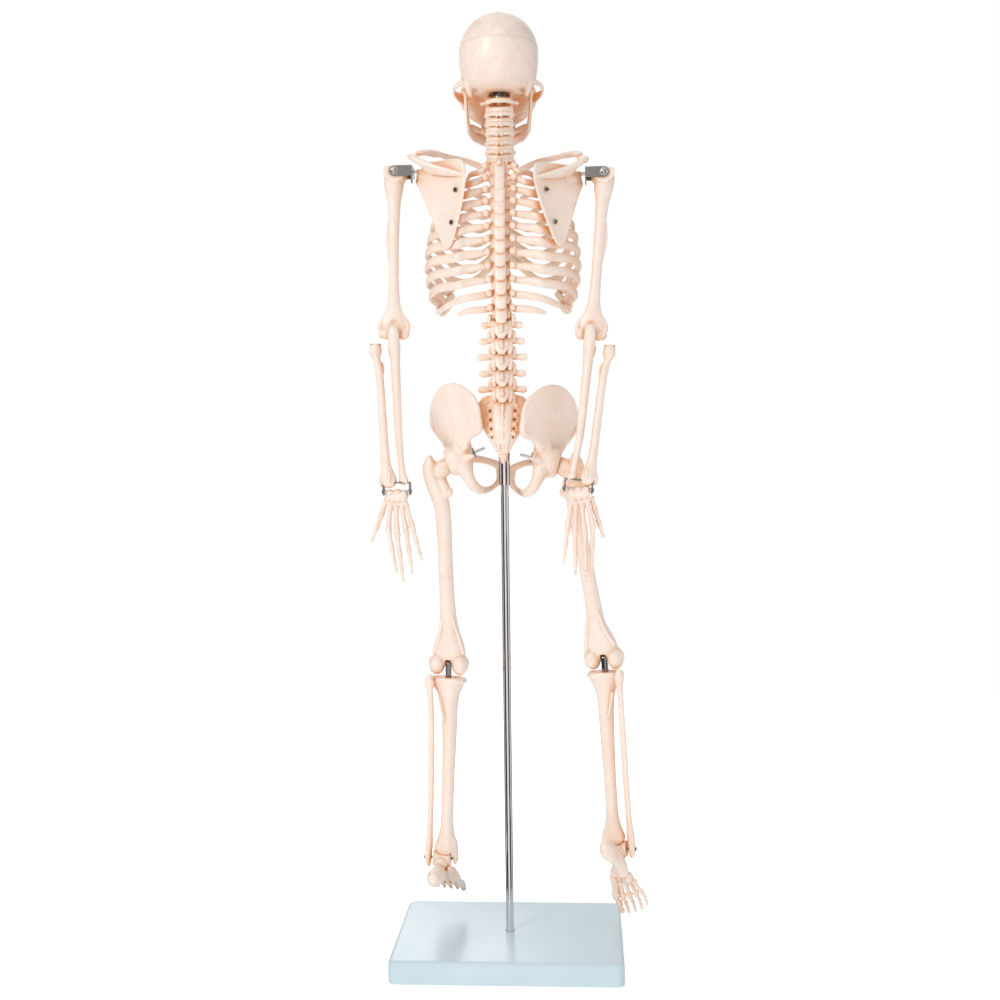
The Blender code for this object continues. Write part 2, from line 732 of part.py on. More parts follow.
def build_hip_bone(side):
    flank = trunk_frame(side, HIP[side], HIP_HOME)
    name = SIDE_NAME[side]
    bm = bmesh.new()
    root = (40, 4, 462)
    middles = [(31, 16, 474), (33, 15, 490), (42, 9, 495), (50, 0, 490), (55, -8, 484), (57, -16, 474),
               (53, -16, 464)]
    ends = [(24, 24, 484), (30, 19, 508), (43, 9, 518), (54, -1, 515), (63, -12, 504), (66, -23, 488),
            (64, -26, 477)]
    for middle, end in zip(smooth(middles, 2), smooth(ends, 2)):
        tube(bm, flank, [(*root, 6), (*middle, (5.0, 2.4)), (*end, (5.0, 2.0))], 6, across=(0.5, -0.86, 0))
    crest = [(23, 26, 486), (27, 23, 503), (36, 16, 516), (46, 7, 521), (56, -3, 517), (64, -14, 506),
             (67.5, -23, 493), (67, -28, 480)]
    tube(bm, flank, [(*p, 2.7) for p in smooth(crest, 2)], 8)
    ball(bm, flank, HIP_HOME, 15.5, 3)
    tube(bm, flank, [(38, -10, 453, 5.5), (22, -25, 451, 4), (9, -34, 447, 4), (5.5, -36, 441, 4.6)], 8)
    tube(bm, flank, [(5.5, -35, 440, 4.2), (8, -29, 431, 3), (14, -17, 427, 2.8), (21, -3, 427, 4)], 8)
    tube(bm, flank, [(40, 6, 447, 8), (33, 11, 438, 6.4), (25, 9, 431, 6), (20, 2, 428, 4.5)], 8)
    tube(bm, flank, [(34, 10, 450, 4), (26, 16, 452, 2)], 6)
    hip = fused(f"hip_bone_{name}", bm, BONE_LOOK, 1.0, 380)

    socket = bmesh.new()
    ball(socket, flank, HIP_HOME, SOCKET_R, 3)
    bolt = bolt_frame(side)
    drum(socket, bolt, (-4, 0, 0), (-40, 0, 0), SOCKET_R, 16)
    cut(hip, "socket", socket)
    slot = bmesh.new()
    brick(slot, bolt, (8, -2.1, -4.6), (20, 2.1, 4.6))
    drum(slot, bolt, (16.3, 0, 0), (40, 0, 0), 8.5, 20)
    cut(hip, "bolt_slot", slot)
    cut(hip, "sacral_face", swollen_sacrum(1.2))
    mid = bmesh.new()
    brick(mid, side_frame(side), (-20, -60, 400), (2.6, 0, 480))
    cut(hip, "symphysis_face", mid)


def bolt_frame(side):
    """Chart on the hip bolt: x runs inward and up along the bolt from the femoral head's centre."""
    rise = math.radians(HIP_BOLT_RISE[side])
    inward = Vector((-side * math.cos(rise), 0, math.sin(rise)))
    up = Vector((side * math.sin(rise), 0, math.cos(rise)))
    return Frame(HIP[side], x=inward, y=(0, 1, 0), z=up)


def build_hip_bolt(side):
    place = bolt_frame(side)
    bm = bmesh.new()
    drum(bm, place, (3, 0, 0), (28, 0, 0), 1.5, 10)
    bolt = to_object(f"hip_bolt_{SIDE_NAME[side]}", bm, DARK_LOOK)
    washer = bmesh.new()
    drum(washer, place, (18.0, 0, 0), (19.2, 0, 0), 5.2, 14)
    drum(washer, place, (20.5, 0, 0), (23.5, 0, 0), 3.2, 6)
    drum(washer, place, (19.0, 0, 0), (21.0, 0, 0), 2.2, 10)
    add_to(bolt, "washer", washer)
    set_origin(bolt, HIP[side])


def build_symphysis():
    bm = bmesh.new()
    tube(bm, WORLD, [(0, -35, 447, (2.1, 3.4)), (0, -35.5, 442, (2.1, 4.0)), (0, -34, 435, (2.1, 3.2))], 10)
    to_object("pubic_symphysis", bm, (CARTILAGE, 0.45, 0.0))


# ---------------------------------------------------------------- shoulder

def scapula_frame(side):
    """Chart of the shoulder blade: x from the socket to the midline edge, y to the back."""
    yaw = math.radians(SCAPULA_YAW[side])
    sx, sy, sz = SHOULDER[side]
    origin = (sx - side * (PLATE_X + 4.5), sy, sz - 2.5)
    return Frame(origin, x=(-side * math.cos(yaw), math.sin(yaw), 0),
                 y=(side * math.sin(yaw), math.cos(yaw), 0))


BLADE = [(2, 5), (18, 8), (34, 7), (50, 6), (53, 0), (52, -14), (47, -36), (41, -56), (36, -66), (32, -69),
         (28, -65), (20, -48), (9, -24), (2, -8)]


def build_scapula(side):
    place = scapula_frame(side)
    name = SIDE_NAME[side]
    bm = bmesh.new()
    slab(bm, place, BLADE, 2.2)
    rim = [(x, 0, z, 1.7) for x, z in BLADE]
    tube(bm, place, rim + [rim[0]], 6)
    tube(bm, place, [(-1, -1, -1, (4.5, 7)), (6, 0, -1, (3.5, 6)), (14, 0, -3, (2, 5))], 8, across=(0, 1, 0))
    tube(bm, place, [(51, 2, -5, 1.6), (34, 5, 0, 2.0), (16, 9, 6, 2.2), (6, 11, 10, 2.6)], 6)
    tube(bm, place, [(34, 1, -2, 1.4), (16, 4, 1, 2.0), (8, 4, 4, 2.2)], 6)
    tube(bm, place, [(8, 11, 9, (2.4, 3)), (1, 9, 12.5, (2.4, 4)), (-0.5, 2, 13, (2.2, 3.4))], 8)
    tube(bm, place, [(8, -1, 5, 2.6), (8, -9, 9, 2.6), (1, -14, 8, 2.0)], 6)
    scapula = fused(f"scapula_{name}", bm, BONE_LOOK, 0.9, 250)
    sx, sy, sz = SHOULDER[side]
    flank = Frame((0, 0, 0), x=(side, 0, 0))
    cutter = bmesh.new()
    edge = abs(sx) - PLATE_X - 1.6
    brick(cutter, flank, (edge, sy - 40, sz - 40), (edge + 40, sy + 40, sz + 40))
    drum(cutter, flank, (edge - 7, sy, sz), (edge + 1, sy, sz), 1.8, 12)
    cut(scapula, "socket_face", cutter)


def build_bracket(side):
    """A flat strap bent to a U round the humeral head, and its pin into the shoulder blade."""
    sx, sy, sz = SHOULDER[side]
    place = Frame((sx, sy, sz), x=(side, 0, 0))
    thick = 1.1
    out = STRAP_HALF
    bm = bmesh.new()
    brick(bm, place, (-PLATE_X, -out, -4.5), (4.5, out, 4.5))
    strap = to_object(f"shoulder_bracket_{SIDE_NAME[side]}", bm, DARK_LOOK)
    inner = bmesh.new()
    brick(inner, place, (-PLATE_X + thick, -out + thick, -8), (20, out - thick, 8))
    drum(inner, place, (0, -20, 0), (0, 20, 0), 1.8, 10)
    cut(strap, "inside", inner)
    pin = bmesh.new()
    drum(pin, place, (-PLATE_X - 7, 0, 0), (-PLATE_X + 2.2, 0, 0), 1.5, 10)
    add_to(strap, "pin", pin)
    tab = bmesh.new()
    brick(tab, place, (-PLATE_X, 3, -11.0), (-PLATE_X + thick, 9, -4))
    add_to(strap, "tab", tab)
    set_origin(strap, (sx, sy, sz))

    bm = bmesh.new()
    drum(bm, place, (0, -STRAP_HALF - 2.4, 0), (0, STRAP_HALF + 2.4, 0), 1.5, 10)
    bolt = to_object(f"shoulder_bolt_{SIDE_NAME[side]}", bm, STEEL_LOOK)
    heads = bmesh.new()
    drum(heads, place, (0, STRAP_HALF + 0.35, 0), (0, STRAP_HALF + 2.5, 0), 3.0, 12)
    drum(heads, place, (0, -STRAP_HALF - 2.5, 0), (0, -STRAP_HALF - 0.35, 0), 3.0, 6)
    add_to(bolt, "heads", heads)
    set_origin(bolt, (sx, sy, sz))


CLAVICLE_HOME = (93.5, 8.5, 709.0)


def build_clavicle(side):
    flank = trunk_frame(side, SHOULDER[side], CLAVICLE_HOME)
    inner_shift = flank.origin
    points = [(13.5, -43, 697, 4.0), (24, -44, 704, 3.2), (38, -37, 713, 2.9), (53, -22, 721, 3.0),
              (64, -8, 725, 3.2), (70.5, 1, 724.5, 3.6)]
    rows = []
    for index, (x, y, z, r) in enumerate(points):
        keep = 1 - index / (len(points) - 1)
        rows.append((x - keep * inner_shift.x * side, y - keep * inner_shift.y, z - keep * inner_shift.z, r))
    bm = bmesh.new()
    tube(bm, flank, smooth(rows, 2), 8)
    to_object(f"clavicle_{SIDE_NAME[side]}", bm, BONE_LOOK)


# ---------------------------------------------------------------- arm

def build_humerus(side):
    top, bottom = SHOULDER[side], ELBOW[side]
    place = bone_frame(side, top, bottom)
    low = -length(top, bottom)
    bm = bmesh.new()
    drum(bm, place, (0, -8.2, 0), (0, 8.2, 0), HEAD_R, 24)
    tube(bm, place, [(1, 0, -3, (9.5, 8.2)), (0.5, 0, -14, (8.2, 7.4)), (0.5, 0, -26, (6.4, 6)),
                     (0.5, 0, -48, 5.3), (0.5, 0, -78, 4.8), (0.3, 0, -104, (5.4, 4.4)),
                     (0.2, 0, -121, (8.5, 3.6)), (0, 0, -132, (12.6, 3.2)), (0, 0, low + 2, (11, 3.0))], 10)
    drum(bm, place, (-9.5, 0, low), (11, 0, low), TROCHLEA_R, 20)
    tube(bm, place, [(-11, 0.5, -131, 3.2), (-14, 1.5, -136, 2.6)], 6)
    tube(bm, place, [(11, 0.5, -131, 3.0), (14, 0.5, -136, 2.6)], 6)
    bone = fused(f"humerus_{SIDE_NAME[side]}", bm, BONE_LOOK, 0.8, 220)
    trim = bmesh.new()
    brick(trim, place, (-30, -30, 4.6), (30, 30, 30))
    world_place = Frame(top, x=(side, 0, 0))
    drum(trim, world_place, (0, -30, 0), (0, 30, 0), 1.8, 16)
    cut(bone, "head_flat", trim)
    set_origin(bone, top)


def build_ulna(side):
    top, bottom = ELBOW[side], WRIST[side]
    place = bone_frame(side, top, bottom)
    low = -length(top, bottom)
    bm = bmesh.new()
    tube(bm, place, [(-1, 9.5, 2.5, (5, 3.0)), (-1, 9.2, -4, (5.4, 3.6)), (-1, 4, -11, (5.6, 5.5)),
                     (-1, 1, -22, 5.0), (-1.5, 0, -50, 4.4), (-2.5, 0, -90, 3.7), (-5, 0, low + 18, 3.3),
                     (-6.2, 0, low + 9.5, 4.4)], 10)
    tube(bm, place, [(-1, -3, -10, (5, 3)), (-1, -6.5, -6.5, (4.4, 2))], 8)
    bone = fused(f"ulna_{SIDE_NAME[side]}", bm, BONE_LOOK, 0.8, 160)
    notch = bmesh.new()
    drum(notch, place, (-25, 0, 0), (25, 0, 0), TROCHLEA_R + 0.7, 14)
    cut(bone, "notch", notch)
    set_origin(bone, top)


def build_radius(side):
    top, bottom = ELBOW[side], WRIST[side]
    place = bone_frame(side, top, bottom)
    low = -length(top, bottom)
    bm = bmesh.new()
    tube(bm, place, [(16.8, 0, -13, 5.4), (16.8, 0, -19, 5.4), (15.6, 0, -26, 3.4), (13.2, 0, -42, 3.8),
                     (11.5, 0, -70, 3.9), (10.2, 0, -100, 4.2), (9, 0, low + 22, (5.6, 4.8)),
                     (7.4, 0, low + 9.5, (8.4, 5.6))], 10)
    bone = fused(f"radius_{SIDE_NAME[side]}", bm, BONE_LOOK, 0.8, 140)
    clear = bmesh.new()
    tube(clear, place, [(-6.2, 0, low + 30, 4.2), (-6.2, 0, low + 4, 5.4)], 12)
    cut(bone, "ulnar_notch", clear)
    set_origin(bone, top)


def hand_frame(side):
    return bone_frame(side, WRIST[side], (WRIST[side][0], WRIST[side][1], 0), tilt=HAND_TILT[side])


def forearm_end_frame(side):
    frame = bone_frame(side, ELBOW[side], WRIST[side])
    return Frame(WRIST[side], frame.x, frame.y, frame.z)


def build_wrist_bracket(side):
    """An inverted U of flat strip over the wrist, with a pin through the carpal block."""
    place = forearm_end_frame(side)
    bm = bmesh.new()
    brick(bm, place, (-12.2, -3.2, -3.4), (12.2, 3.2, 8.2))
    strap = to_object(f"wrist_bracket_{SIDE_NAME[side]}", bm, STEEL_LOOK)
    inner = bmesh.new()
    brick(inner, place, (-11.2, -6, -10), (11.2, 6, 7.2))
    cut(strap, "inside", inner)
    pin = bmesh.new()
    drum(pin, place, (-13.2, 0, 0), (13.2, 0, 0), 1.3, 10)
    for edge in (1, -1):
        drum(pin, place, (edge * 11.8, 0, 0), (edge * 13.6, 0, 0), 2.5, 12)
    add_to(strap, "pin", pin)
    set_origin(strap, WRIST[side])


# finger: base (x, z), knuckle (x, z), tip (x, z), radius at the knuckle
FINGERS = [((6.0, -11), (9.0, -32), (3.5, -73), 2.9), ((1.5, -12), (1.2, -37), (-2.6, -81.5), 3.0),
           ((-3.5, -11.5), (-7.0, -35), (-11.0, -74), 2.8),
            ((-7.5, -10.5), (-13.2, -33), (-21.0, -62.5), 2.6)]
THUMB = ((11.0, -7), (16.5, -20), (26.0, -45.5), 2.8)


def build_hand(side):
    place = hand_frame(side)
    bm = bmesh.new()
    brick(bm, place, (-9.6, -3.6, -9.5), (9.6, 3.6, 2.6))
    ball(bm, place, (0, 0, -7.5), (11.2, 4.2, 5.5), 3)
    for base, knuckle, tip, radius in FINGERS + [THUMB]:
        curl = 2.5
        middle = ((knuckle[0] + tip[0]) / 2, (knuckle[1] + tip[1]) / 2)
        tube(bm, place, [(base[0], 0, base[1], 2.6), ((base[0] + knuckle[0]) / 2, 0.6,
                         (base[1] + knuckle[1]) / 2, 1.8), (knuckle[0], 0.4, knuckle[1], radius),
                         (middle[0], -curl * 0.4, middle[1], 2.0), (tip[0], -curl, tip[1], 1.5)], 8)
    tube(bm, place, [(-6.5, 0, -14, 2.0), (6.5, 0, -14, 2.0)], 8, across=(0, 1, 0))
    hand = fused(f"hand_{SIDE_NAME[side]}", bm, BONE_LOOK, 0.75, 420)
    trim = bmesh.new()
    pin_place = forearm_end_frame(side)
    drum(trim, pin_place, (-40, 0, 0), (40, 0, 0), 1.7, 12)
    for edge in (1, -1):
        brick(trim, pin_place, (min(edge * 10.6, edge * 20), -9, -6.8),
              (max(edge * 10.6, edge * 20), 9, 12))
    brick(trim, pin_place, (-30, -20, 4.0), (30, 20, 30))
    cut(hand, "pin_bore", trim)
    set_origin(hand, WRIST[side])


# ---------------------------------------------------------------- leg

def leg_frame(side, top, bottom):
    return bone_frame(side, top, bottom, yaw=LEG_YAW[side])


def knee_frame(side):
    """Chart at the knee, square to the shin, so that the joint lies flat on the shin bone's plateau."""
    return leg_frame(side, KNEE[side], ANKLE[side])


def build_femur(side):
    top, bottom = HIP[side], KNEE[side]
    place = leg_frame(side, top, bottom)
    knee = knee_frame(side)
    low = -length(top, bottom)
    bm = bmesh.new()
    ball(bm, place, (0, 0, 0), FEMUR_HEAD_R, 3)
    tube(bm, place, [(6, 0, -4, 6.4), (17, 1, -12, (6.4, 6.6))], 10)
    tube(bm, place, [(23, 3, 1, 4.5), (23.5, 3, -8, 6.6), (17, 2, -22, 8.6), (13, 0.5, -34, 7.8),
                     (10, -0.5, -50, 7.0), (6.5, -1.5, -90, 6.6), (3, -0.5, -135, 7.0),
                     (1, 0, low + 30, (9.5, 7.6)), (0, 0, low + 14, (15.5, 8.6)),
                     (0, 0, low + 6, (15, 8.6))], 12)
    ball(bm, place, (6, 6, -31), (4.5, 4.5, 6), 2)
    for edge in (1, -1):
        drum(bm, knee, (edge * 4.5, 0, 0), (edge * 17.5, 0, 0), CONDYLE_R, 24)
    bone = fused(f"femur_{SIDE_NAME[side]}", bm, BONE_LOOK, 0.9, 300)
    trim = bmesh.new()
    brick(trim, knee, (-3.4, -6.5, -20), (3.4, 20, 6))
    drum(trim, knee, (-13, 0, 0), (13, 0, 0), 1.5, 12)
    cut(bone, "notch", trim)
    bore = bmesh.new()
    drum(bore, bolt_frame(side), (-1, 0, 0), (30, 0, 0), 1.9, 12)
    cut(bone, "bolt_bore", bore)
    set_origin(bone, top)


def build_patella(side):
    place = knee_frame(side)
    bm = bmesh.new()
    ball(bm, place, (0, -13.6, 6), (8.2, 3.6, 8.6), 2)
    patella = to_object(f"patella_{SIDE_NAME[side]}", bm, BONE_LOOK)
    face = bmesh.new()
    drum(face, place, (-30, 0, 0), (30, 0, 0), CONDYLE_R + 0.9, 20)
    brick(face, place, (-30, -10.4, 0), (30, 10, 40))
    cut(patella, "joint_face", face)


def build_knee_tab(side):
    top, bottom = KNEE[side], ANKLE[side]
    place = leg_frame(side, top, bottom)
    outline = [(-3.4, -17.0), (3.4, -17.0)]
    for step in range(9):
        angle = math.pi * step / 8
        outline.append((3.4 * math.cos(angle), 0.5 + 3.4 * math.sin(angle)))
    bm = bmesh.new()
    slab(bm, Frame(top, x=place.y, y=place.x, z=place.z), outline, 4.6)
    tab = to_object(f"knee_tab_{SIDE_NAME[side]}", bm, DARK_LOOK)
    pin = bmesh.new()
    drum(pin, place, (-12, 0, 0), (12, 0, 0), 1.2, 12)
    add_to(tab, "pin", pin)
    set_origin(tab, top)


def build_tibia(side):
    top, bottom = KNEE[side], ANKLE[side]
    place = leg_frame(side, top, bottom)
    low = -length(top, bottom)
    bm = bmesh.new()
    tube(bm, place, [(0, 0.5, -11.4, (17.5, 11)), (0, 0.5, -15.5, (17.5, 11)), (-1, 0, -24, (11.5, 9.5)),
                     (-1.5, -1, -38, (8, 8.5)), (-2, -1, -62, 7.0), (-2, -0.5, -105, 6.0),
                     (-2, 0, low + 34, 6.0), (-2, 0, low + 18, (8.4, 7.4)),
                     (-1.5, 0, low + 9.2, (10.6, 8.8))], 12)
    tube(bm, place, [(-9.5, 0, low + 12, (3.6, 6)), (-10.2, 0, low + 2, (2.6, 5)),
                     (-10, 0, low - 4, (2, 3.4))], 8)
    ball(bm, place, (-1, -9, -22), (4, 3, 5), 2)
    bone = fused(f"tibia_{SIDE_NAME[side]}", bm, BONE_LOOK, 0.9, 230)
    trim = bmesh.new()
    brick(trim, place, (-30, -30, -11.2), (30, 30, 10))
    brick(trim, place, (-2.7, -3.8, -17.5), (2.7, 3.8, -5))
    drum(trim, place, (-7.2, 0, low), (20, 0, low), TALUS_R + 0.9, 16)
    drum(trim, place, (-20, 0, low), (20, 0, low), 1.6, 12)
    cut(bone, "joint_faces", trim)
    set_origin(bone, top)


def build_fibula(side):
    top, bottom = KNEE[side], ANKLE[side]
    place = leg_frame(side, top, bottom)
    low = -length(top, bottom)
    bm = bmesh.new()
    tube(bm, place, [(15.5, 12.5, -10.5, 3.4), (15.5, 12.5, -16, 4.8), (14.8, 10.5, -24, 3.4),
                     (14, 6, -48, 3.2), (13.4, 3, -100, 3.1), (13.6, 1.5, low + 28, 3.2),
                     (14.2, 1, low + 12, (3.4, 4.6)), (14.2, 1, low, (3.0, 4.6)),
                     (14, 1, low - 6.5, (2, 3))], 8)
    bone = to_object(f"fibula_{SIDE_NAME[side]}", bm, BONE_LOOK)
    trim = bmesh.new()
    drum(trim, place, (0, 0, low), (40, 0, low), 1.6, 12)
    cut(bone, "bolt_bore", trim)
    set_origin(bone, top)


def foot_frame(side):
    leg = leg_frame(side, KNEE[side], ANKLE[side])
    drop = math.radians(FOOT_DROP[side])
    up = Vector((0, 0, 1))
    out = (leg.x - leg.x.dot(up) * up).normalized()
    back = up.cross(out) * side
    tip_back = back * math.cos(drop) + up * math.sin(drop)
    tip_up = up * math.cos(drop) - back * math.sin(drop)
    return Frame(ANKLE[side], leg.x, tip_back - FOOT_TURN_OUT[side] * leg.x, tip_up)


def ankle_frame(side):
    leg = leg_frame(side, KNEE[side], ANKLE[side])
    return Frame(ANKLE[side], leg.x, leg.y, leg.z)


# toe ray: base x, head (x, y), tip (x, y), radius
RAYS = [(-6.5, (-9.5, -50), (-8, -73), 4.2), (-2, (-3, -53), (-2, -74), 3.0),
        (2.5, (3, -51), (4, -71), 2.9), (6.5, (8.5, -48), (9.5, -66), 2.8),
        (10, (13.5, -43), (14.5, -59), 2.7)]


def build_foot(side):
    place = foot_frame(side)
    bm = bmesh.new()
    drum(bm, place, (-4.8, 0, 0), (9.4, 0, 0), TALUS_R, 20)
    tube(bm, place, [(2.2, 2, -5, (7, 8)), (2, -8, -9, (8, 7)), (1, -20, -12, (11, 7)),
                     (1, -30, -14, (12.5, 5.6))], 10, across=(1, 0, 0))
    tube(bm, place, [(2.5, -6, -12, (7, 6)), (2.5, 8, -13, (7, 8)), (2, 22, -16, (7, 9)),
                     (2, 31, -18, (7.5, 9)), (2, 36, -19, (5.5, 6.5))], 10, across=(1, 0, 0))
    for base, head, tip, radius in RAYS:
        fan = TOE_FAN[side] if head[0] > 0 else 1.0
        head_x, head_y = head[0] * fan, head[1]
        tip_x, tip_y = tip[0] * fan, tip[1]
        tube(bm, place, [(base, -28, -14.5, 3.2),
                         ((base + head_x) / 2, (-28 + head_y) / 2, -17, radius * 0.7),
                         (head_x, head_y, -20, radius),
                         ((head_x + tip_x) / 2, (head_y + tip_y) / 2, -22, radius * 0.75),
                         (tip_x, tip_y, -23, radius * 0.7)], 8)
    tube(bm, place, [(-6, -36, -16, 2), (11, -34, -16, 2)], 8, across=(0, 1, 0))
    tube(bm, place, [(-9, -50, -19, 2), (13, -43, -19, 2)], 8, across=(0, 1, 0))
    foot = fused(f"foot_{SIDE_NAME[side]}", bm, BONE_LOOK, 0.85, 380)
    trim = bmesh.new()
    ankle = ankle_frame(side)
    drum(trim, ankle, (-40, 0, 0), (40, 0, 0), 1.6, 12)
    cut(foot, "bolt_bore", trim)
    set_origin(foot, ANKLE[side])

    bm = bmesh.new()
    drum(bm, ankle, (-13.5, 0, 0), (18.5, 0, 0), 1.2, 12)
    bolt = to_object(f"ankle_bolt_{SIDE_NAME[side]}", bm, DARK_LOOK)
    set_origin(bolt, ANKLE[side])


# ---------------------------------------------------------------- assembly

build_base()
build_pole()
build_skull()
build_mandible()
build_neck_bracket()
build_cervical()
build_thoracic()
build_lumbar()
build_sacrum()
build_rib_cage()
build_floating_ribs()
build_symphysis()
for SIDE in (1, -1):
    build_hip_bone(SIDE)
    build_hip_bolt(SIDE)
    build_scapula(SIDE)
    build_bracket(SIDE)
    build_clavicle(SIDE)
    build_humerus(SIDE)
    build_ulna(SIDE)
    build_radius(SIDE)
    build_wrist_bracket(SIDE)
    build_hand(SIDE)
    build_femur(SIDE)
    build_patella(SIDE)
    build_knee_tab(SIDE)
    build_tibia(SIDE)
    build_fibula(SIDE)
    build_foot(SIDE)
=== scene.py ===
"""Looks of the desktop human skeleton model: detailed bones, fittings, stand, finishes, light and camera.

World frame as packed: metres, +Z up, the base's underside at z = 0, the skeleton facing -Y with its own
left side at +X. Shapes are drawn in millimetres in small charts: x outward from the midline, y to the
back, z up the bone.
"""

import math

import bmesh
import bpy
from mathutils import Matrix, Vector


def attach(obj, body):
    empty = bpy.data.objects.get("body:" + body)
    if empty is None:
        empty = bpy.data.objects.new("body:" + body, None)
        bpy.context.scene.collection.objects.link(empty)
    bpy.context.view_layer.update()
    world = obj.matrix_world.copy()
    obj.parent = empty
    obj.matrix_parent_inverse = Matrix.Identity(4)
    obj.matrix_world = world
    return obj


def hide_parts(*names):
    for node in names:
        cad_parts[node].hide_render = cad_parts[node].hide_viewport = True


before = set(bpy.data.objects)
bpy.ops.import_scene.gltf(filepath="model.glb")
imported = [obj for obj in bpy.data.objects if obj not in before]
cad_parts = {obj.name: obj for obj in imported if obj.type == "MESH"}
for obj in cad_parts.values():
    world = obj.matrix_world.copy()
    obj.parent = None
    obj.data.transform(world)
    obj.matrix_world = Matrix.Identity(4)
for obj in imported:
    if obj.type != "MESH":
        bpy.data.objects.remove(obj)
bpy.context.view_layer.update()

MM = 0.001
SIDES = {1: "left", -1: "right"}

# Stand
BASE_HALF = (102.8, 75.5)
BASE_TOP = 20.5
BASE_WALL = 7.5
POLE_R = 3.5
POLE_FOOT = 6.0
POLE_TOP = 513.0
SLEEVE_R = 5.0
SLEEVE_Z = (430.0, 496.0)

# Joint centres and turns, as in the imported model
HEAD_PIVOT = (0.0, 4.0, 771.0)
HEAD_YAW = 4.0
CAP_CUT_Z = 816.6
CERVICAL = [(5, 768), (4, 759), (3, 750.5), (2.5, 742.5), (2, 734.5), (2.5, 726.5), (3.5, 718)]
LUMBAR = [(6, 570), (4.5, 556), (3, 542), (2, 527.5), (2, 513.5)]
SHOULDER = {1: (93.5, 8.5, 709.0), -1: (-91.0, 10.0, 703.5)}
ELBOW = {1: (97.0, 9.0, 566.5), -1: (-79.0, 18.0, 562.5)}
WRIST = {1: (96.4, 9.5, 425.5), -1: (-66.5, 38.0, 427.5)}
HIP = {1: (43.5, 0.0, 453.0), -1: (-41.5, 0.0, 450.0)}
KNEE = {1: (53.0, -1.0, 266.5), -1: (-88.5, -1.0, 271.5)}
ANKLE = {1: (59.6, 3.0, 88.5), -1: (-98.0, 3.0, 98.5)}
SCAPULA_YAW = {1: 34.0, -1: 42.0}
SCAPULA_TALL = {1: 0.98, -1: 0.9}
SCAPULA_LEAN = {1: 0.0, -1: 0.13}
HIP_BOLT_RISE = {1: 22.0, -1: 15.0}
THUMB_SPREAD = {1: 0.95, -1: 0.42}
HAND_TILT = {1: -1.0, -1: 6.0}
LEG_YAW = {1: -4.0, -1: 14.0}
FOOT_DROP = {1: 22.0, -1: 48.0}
FOOT_TURN_OUT = {1: 0.0, -1: 0.085}
TOE_FAN = {1: 1.0, -1: 1.3}
STRAP_HALF = 10.0
PLATE_X = 16.2
TALUS_R = 7.6
LOWER_FULL = 0.52


# ---------------------------------------------------------------- charts and solids

class Chart:
    """A place in the world: origin and axes in millimetres; x may point to either side."""

    def __init__(self, origin, x=(1, 0, 0), y=(0, 1, 0), z=(0, 0, 1)):
        self.origin = Vector(origin)
        self.x = Vector(x)
        self.y = Vector(y)
        self.z = Vector(z)

    def __call__(self, point):
        px, py, pz = point
        return (self.origin + px * self.x + py * self.y + pz * self.z) * MM


WORLD = Chart((0, 0, 0))


def side_chart(side):
    return Chart((0, 0, 0), x=(side, 0, 0))


def bone_chart(side, top, bottom, yaw=0.0, tilt=0.0):
    up = (Vector(top) - Vector(bottom)).normalized()
    out = Matrix.Rotation(math.radians(yaw) * side, 3, "Z") @ Vector((side, 0, 0))
    out = (out - out.dot(up) * up).normalized()
    back = up.cross(out) * side
    swing = Matrix.Rotation(math.radians(tilt) * -side, 3, back)
    return Chart(top, swing @ out, back, swing @ up)


def head_chart(side=1):
    turn = Matrix.Rotation(math.radians(HEAD_YAW), 3, "Z")
    pivot = Vector(HEAD_PIVOT)
    return Chart(pivot - turn @ pivot + Vector((1.0, 0, 0)), turn @ Vector((side, 0, 0)),
                 turn @ Vector((0, 1, 0)))


def length(top, bottom):
    return (Vector(top) - Vector(bottom)).length


def full(row):
    """A station (x, y, z, r) or (x, y, z, (across, deep)) as five plain numbers."""
    radius = row[3]
    across, deep = radius if isinstance(radius, tuple) else (radius, radius)
    return (row[0], row[1], row[2], across, deep)


def smooth(rows, steps):
    """A Catmull-Rom curve through rows of numbers."""
    out = []
    last = len(rows) - 1
    for index in range(last):
        quad = (rows[max(index - 1, 0)], rows[index], rows[index + 1], rows[min(index + 2, last)])
        for step in range(steps):
            t = step / steps
            out.append(tuple(b + 0.5 * t * (c - a + t * (2 * a - 5 * b + 4 * c - d + t * (3 * (b - c) + d - a)))
                             for a, b, c, d in zip(*quad)))
    out.append(tuple(rows[-1]))
    return out


def limb(bm, place, rows, sides=18, steps=4, across=(1, 0, 0), round_ends=True):
    """A smooth closed tube of oval section through stations, with domed ends."""
    rows = smooth([full(row) for row in rows], steps)
    if round_ends:
        rows = dome(rows[1], rows[0])[::-1] + rows + dome(rows[-2], rows[-1])
    points = [place(row[:3]) for row in rows]
    axis = (place(across) - place((0, 0, 0))).normalized()
    rings = []
    last = len(points) - 1
    for index, point in enumerate(points):
        along = (points[min(index + 1, last)] - points[max(index - 1, 0)]).normalized()
        wide = axis - axis.dot(along) * along
        if wide.length < 0.2:
            wide = along.orthogonal()
        wide.normalize()
        deep = along.cross(wide)
        rx, ry = max(rows[index][3], 0.02) * MM, max(rows[index][4], 0.02) * MM
        ring = []
        for step in range(sides):
            angle = 2 * math.pi * step / sides
            ring.append(bm.verts.new(point + wide * (rx * math.cos(angle)) + deep * (ry * math.sin(angle))))
        rings.append(ring)
    for low, high in zip(rings, rings[1:]):
        for step in range(sides):
            nxt = (step + 1) % sides
            bm.faces.new((low[step], low[nxt], high[nxt], high[step]))
    bm.faces.new(tuple(reversed(rings[0])))
    bm.faces.new(tuple(rings[-1]))


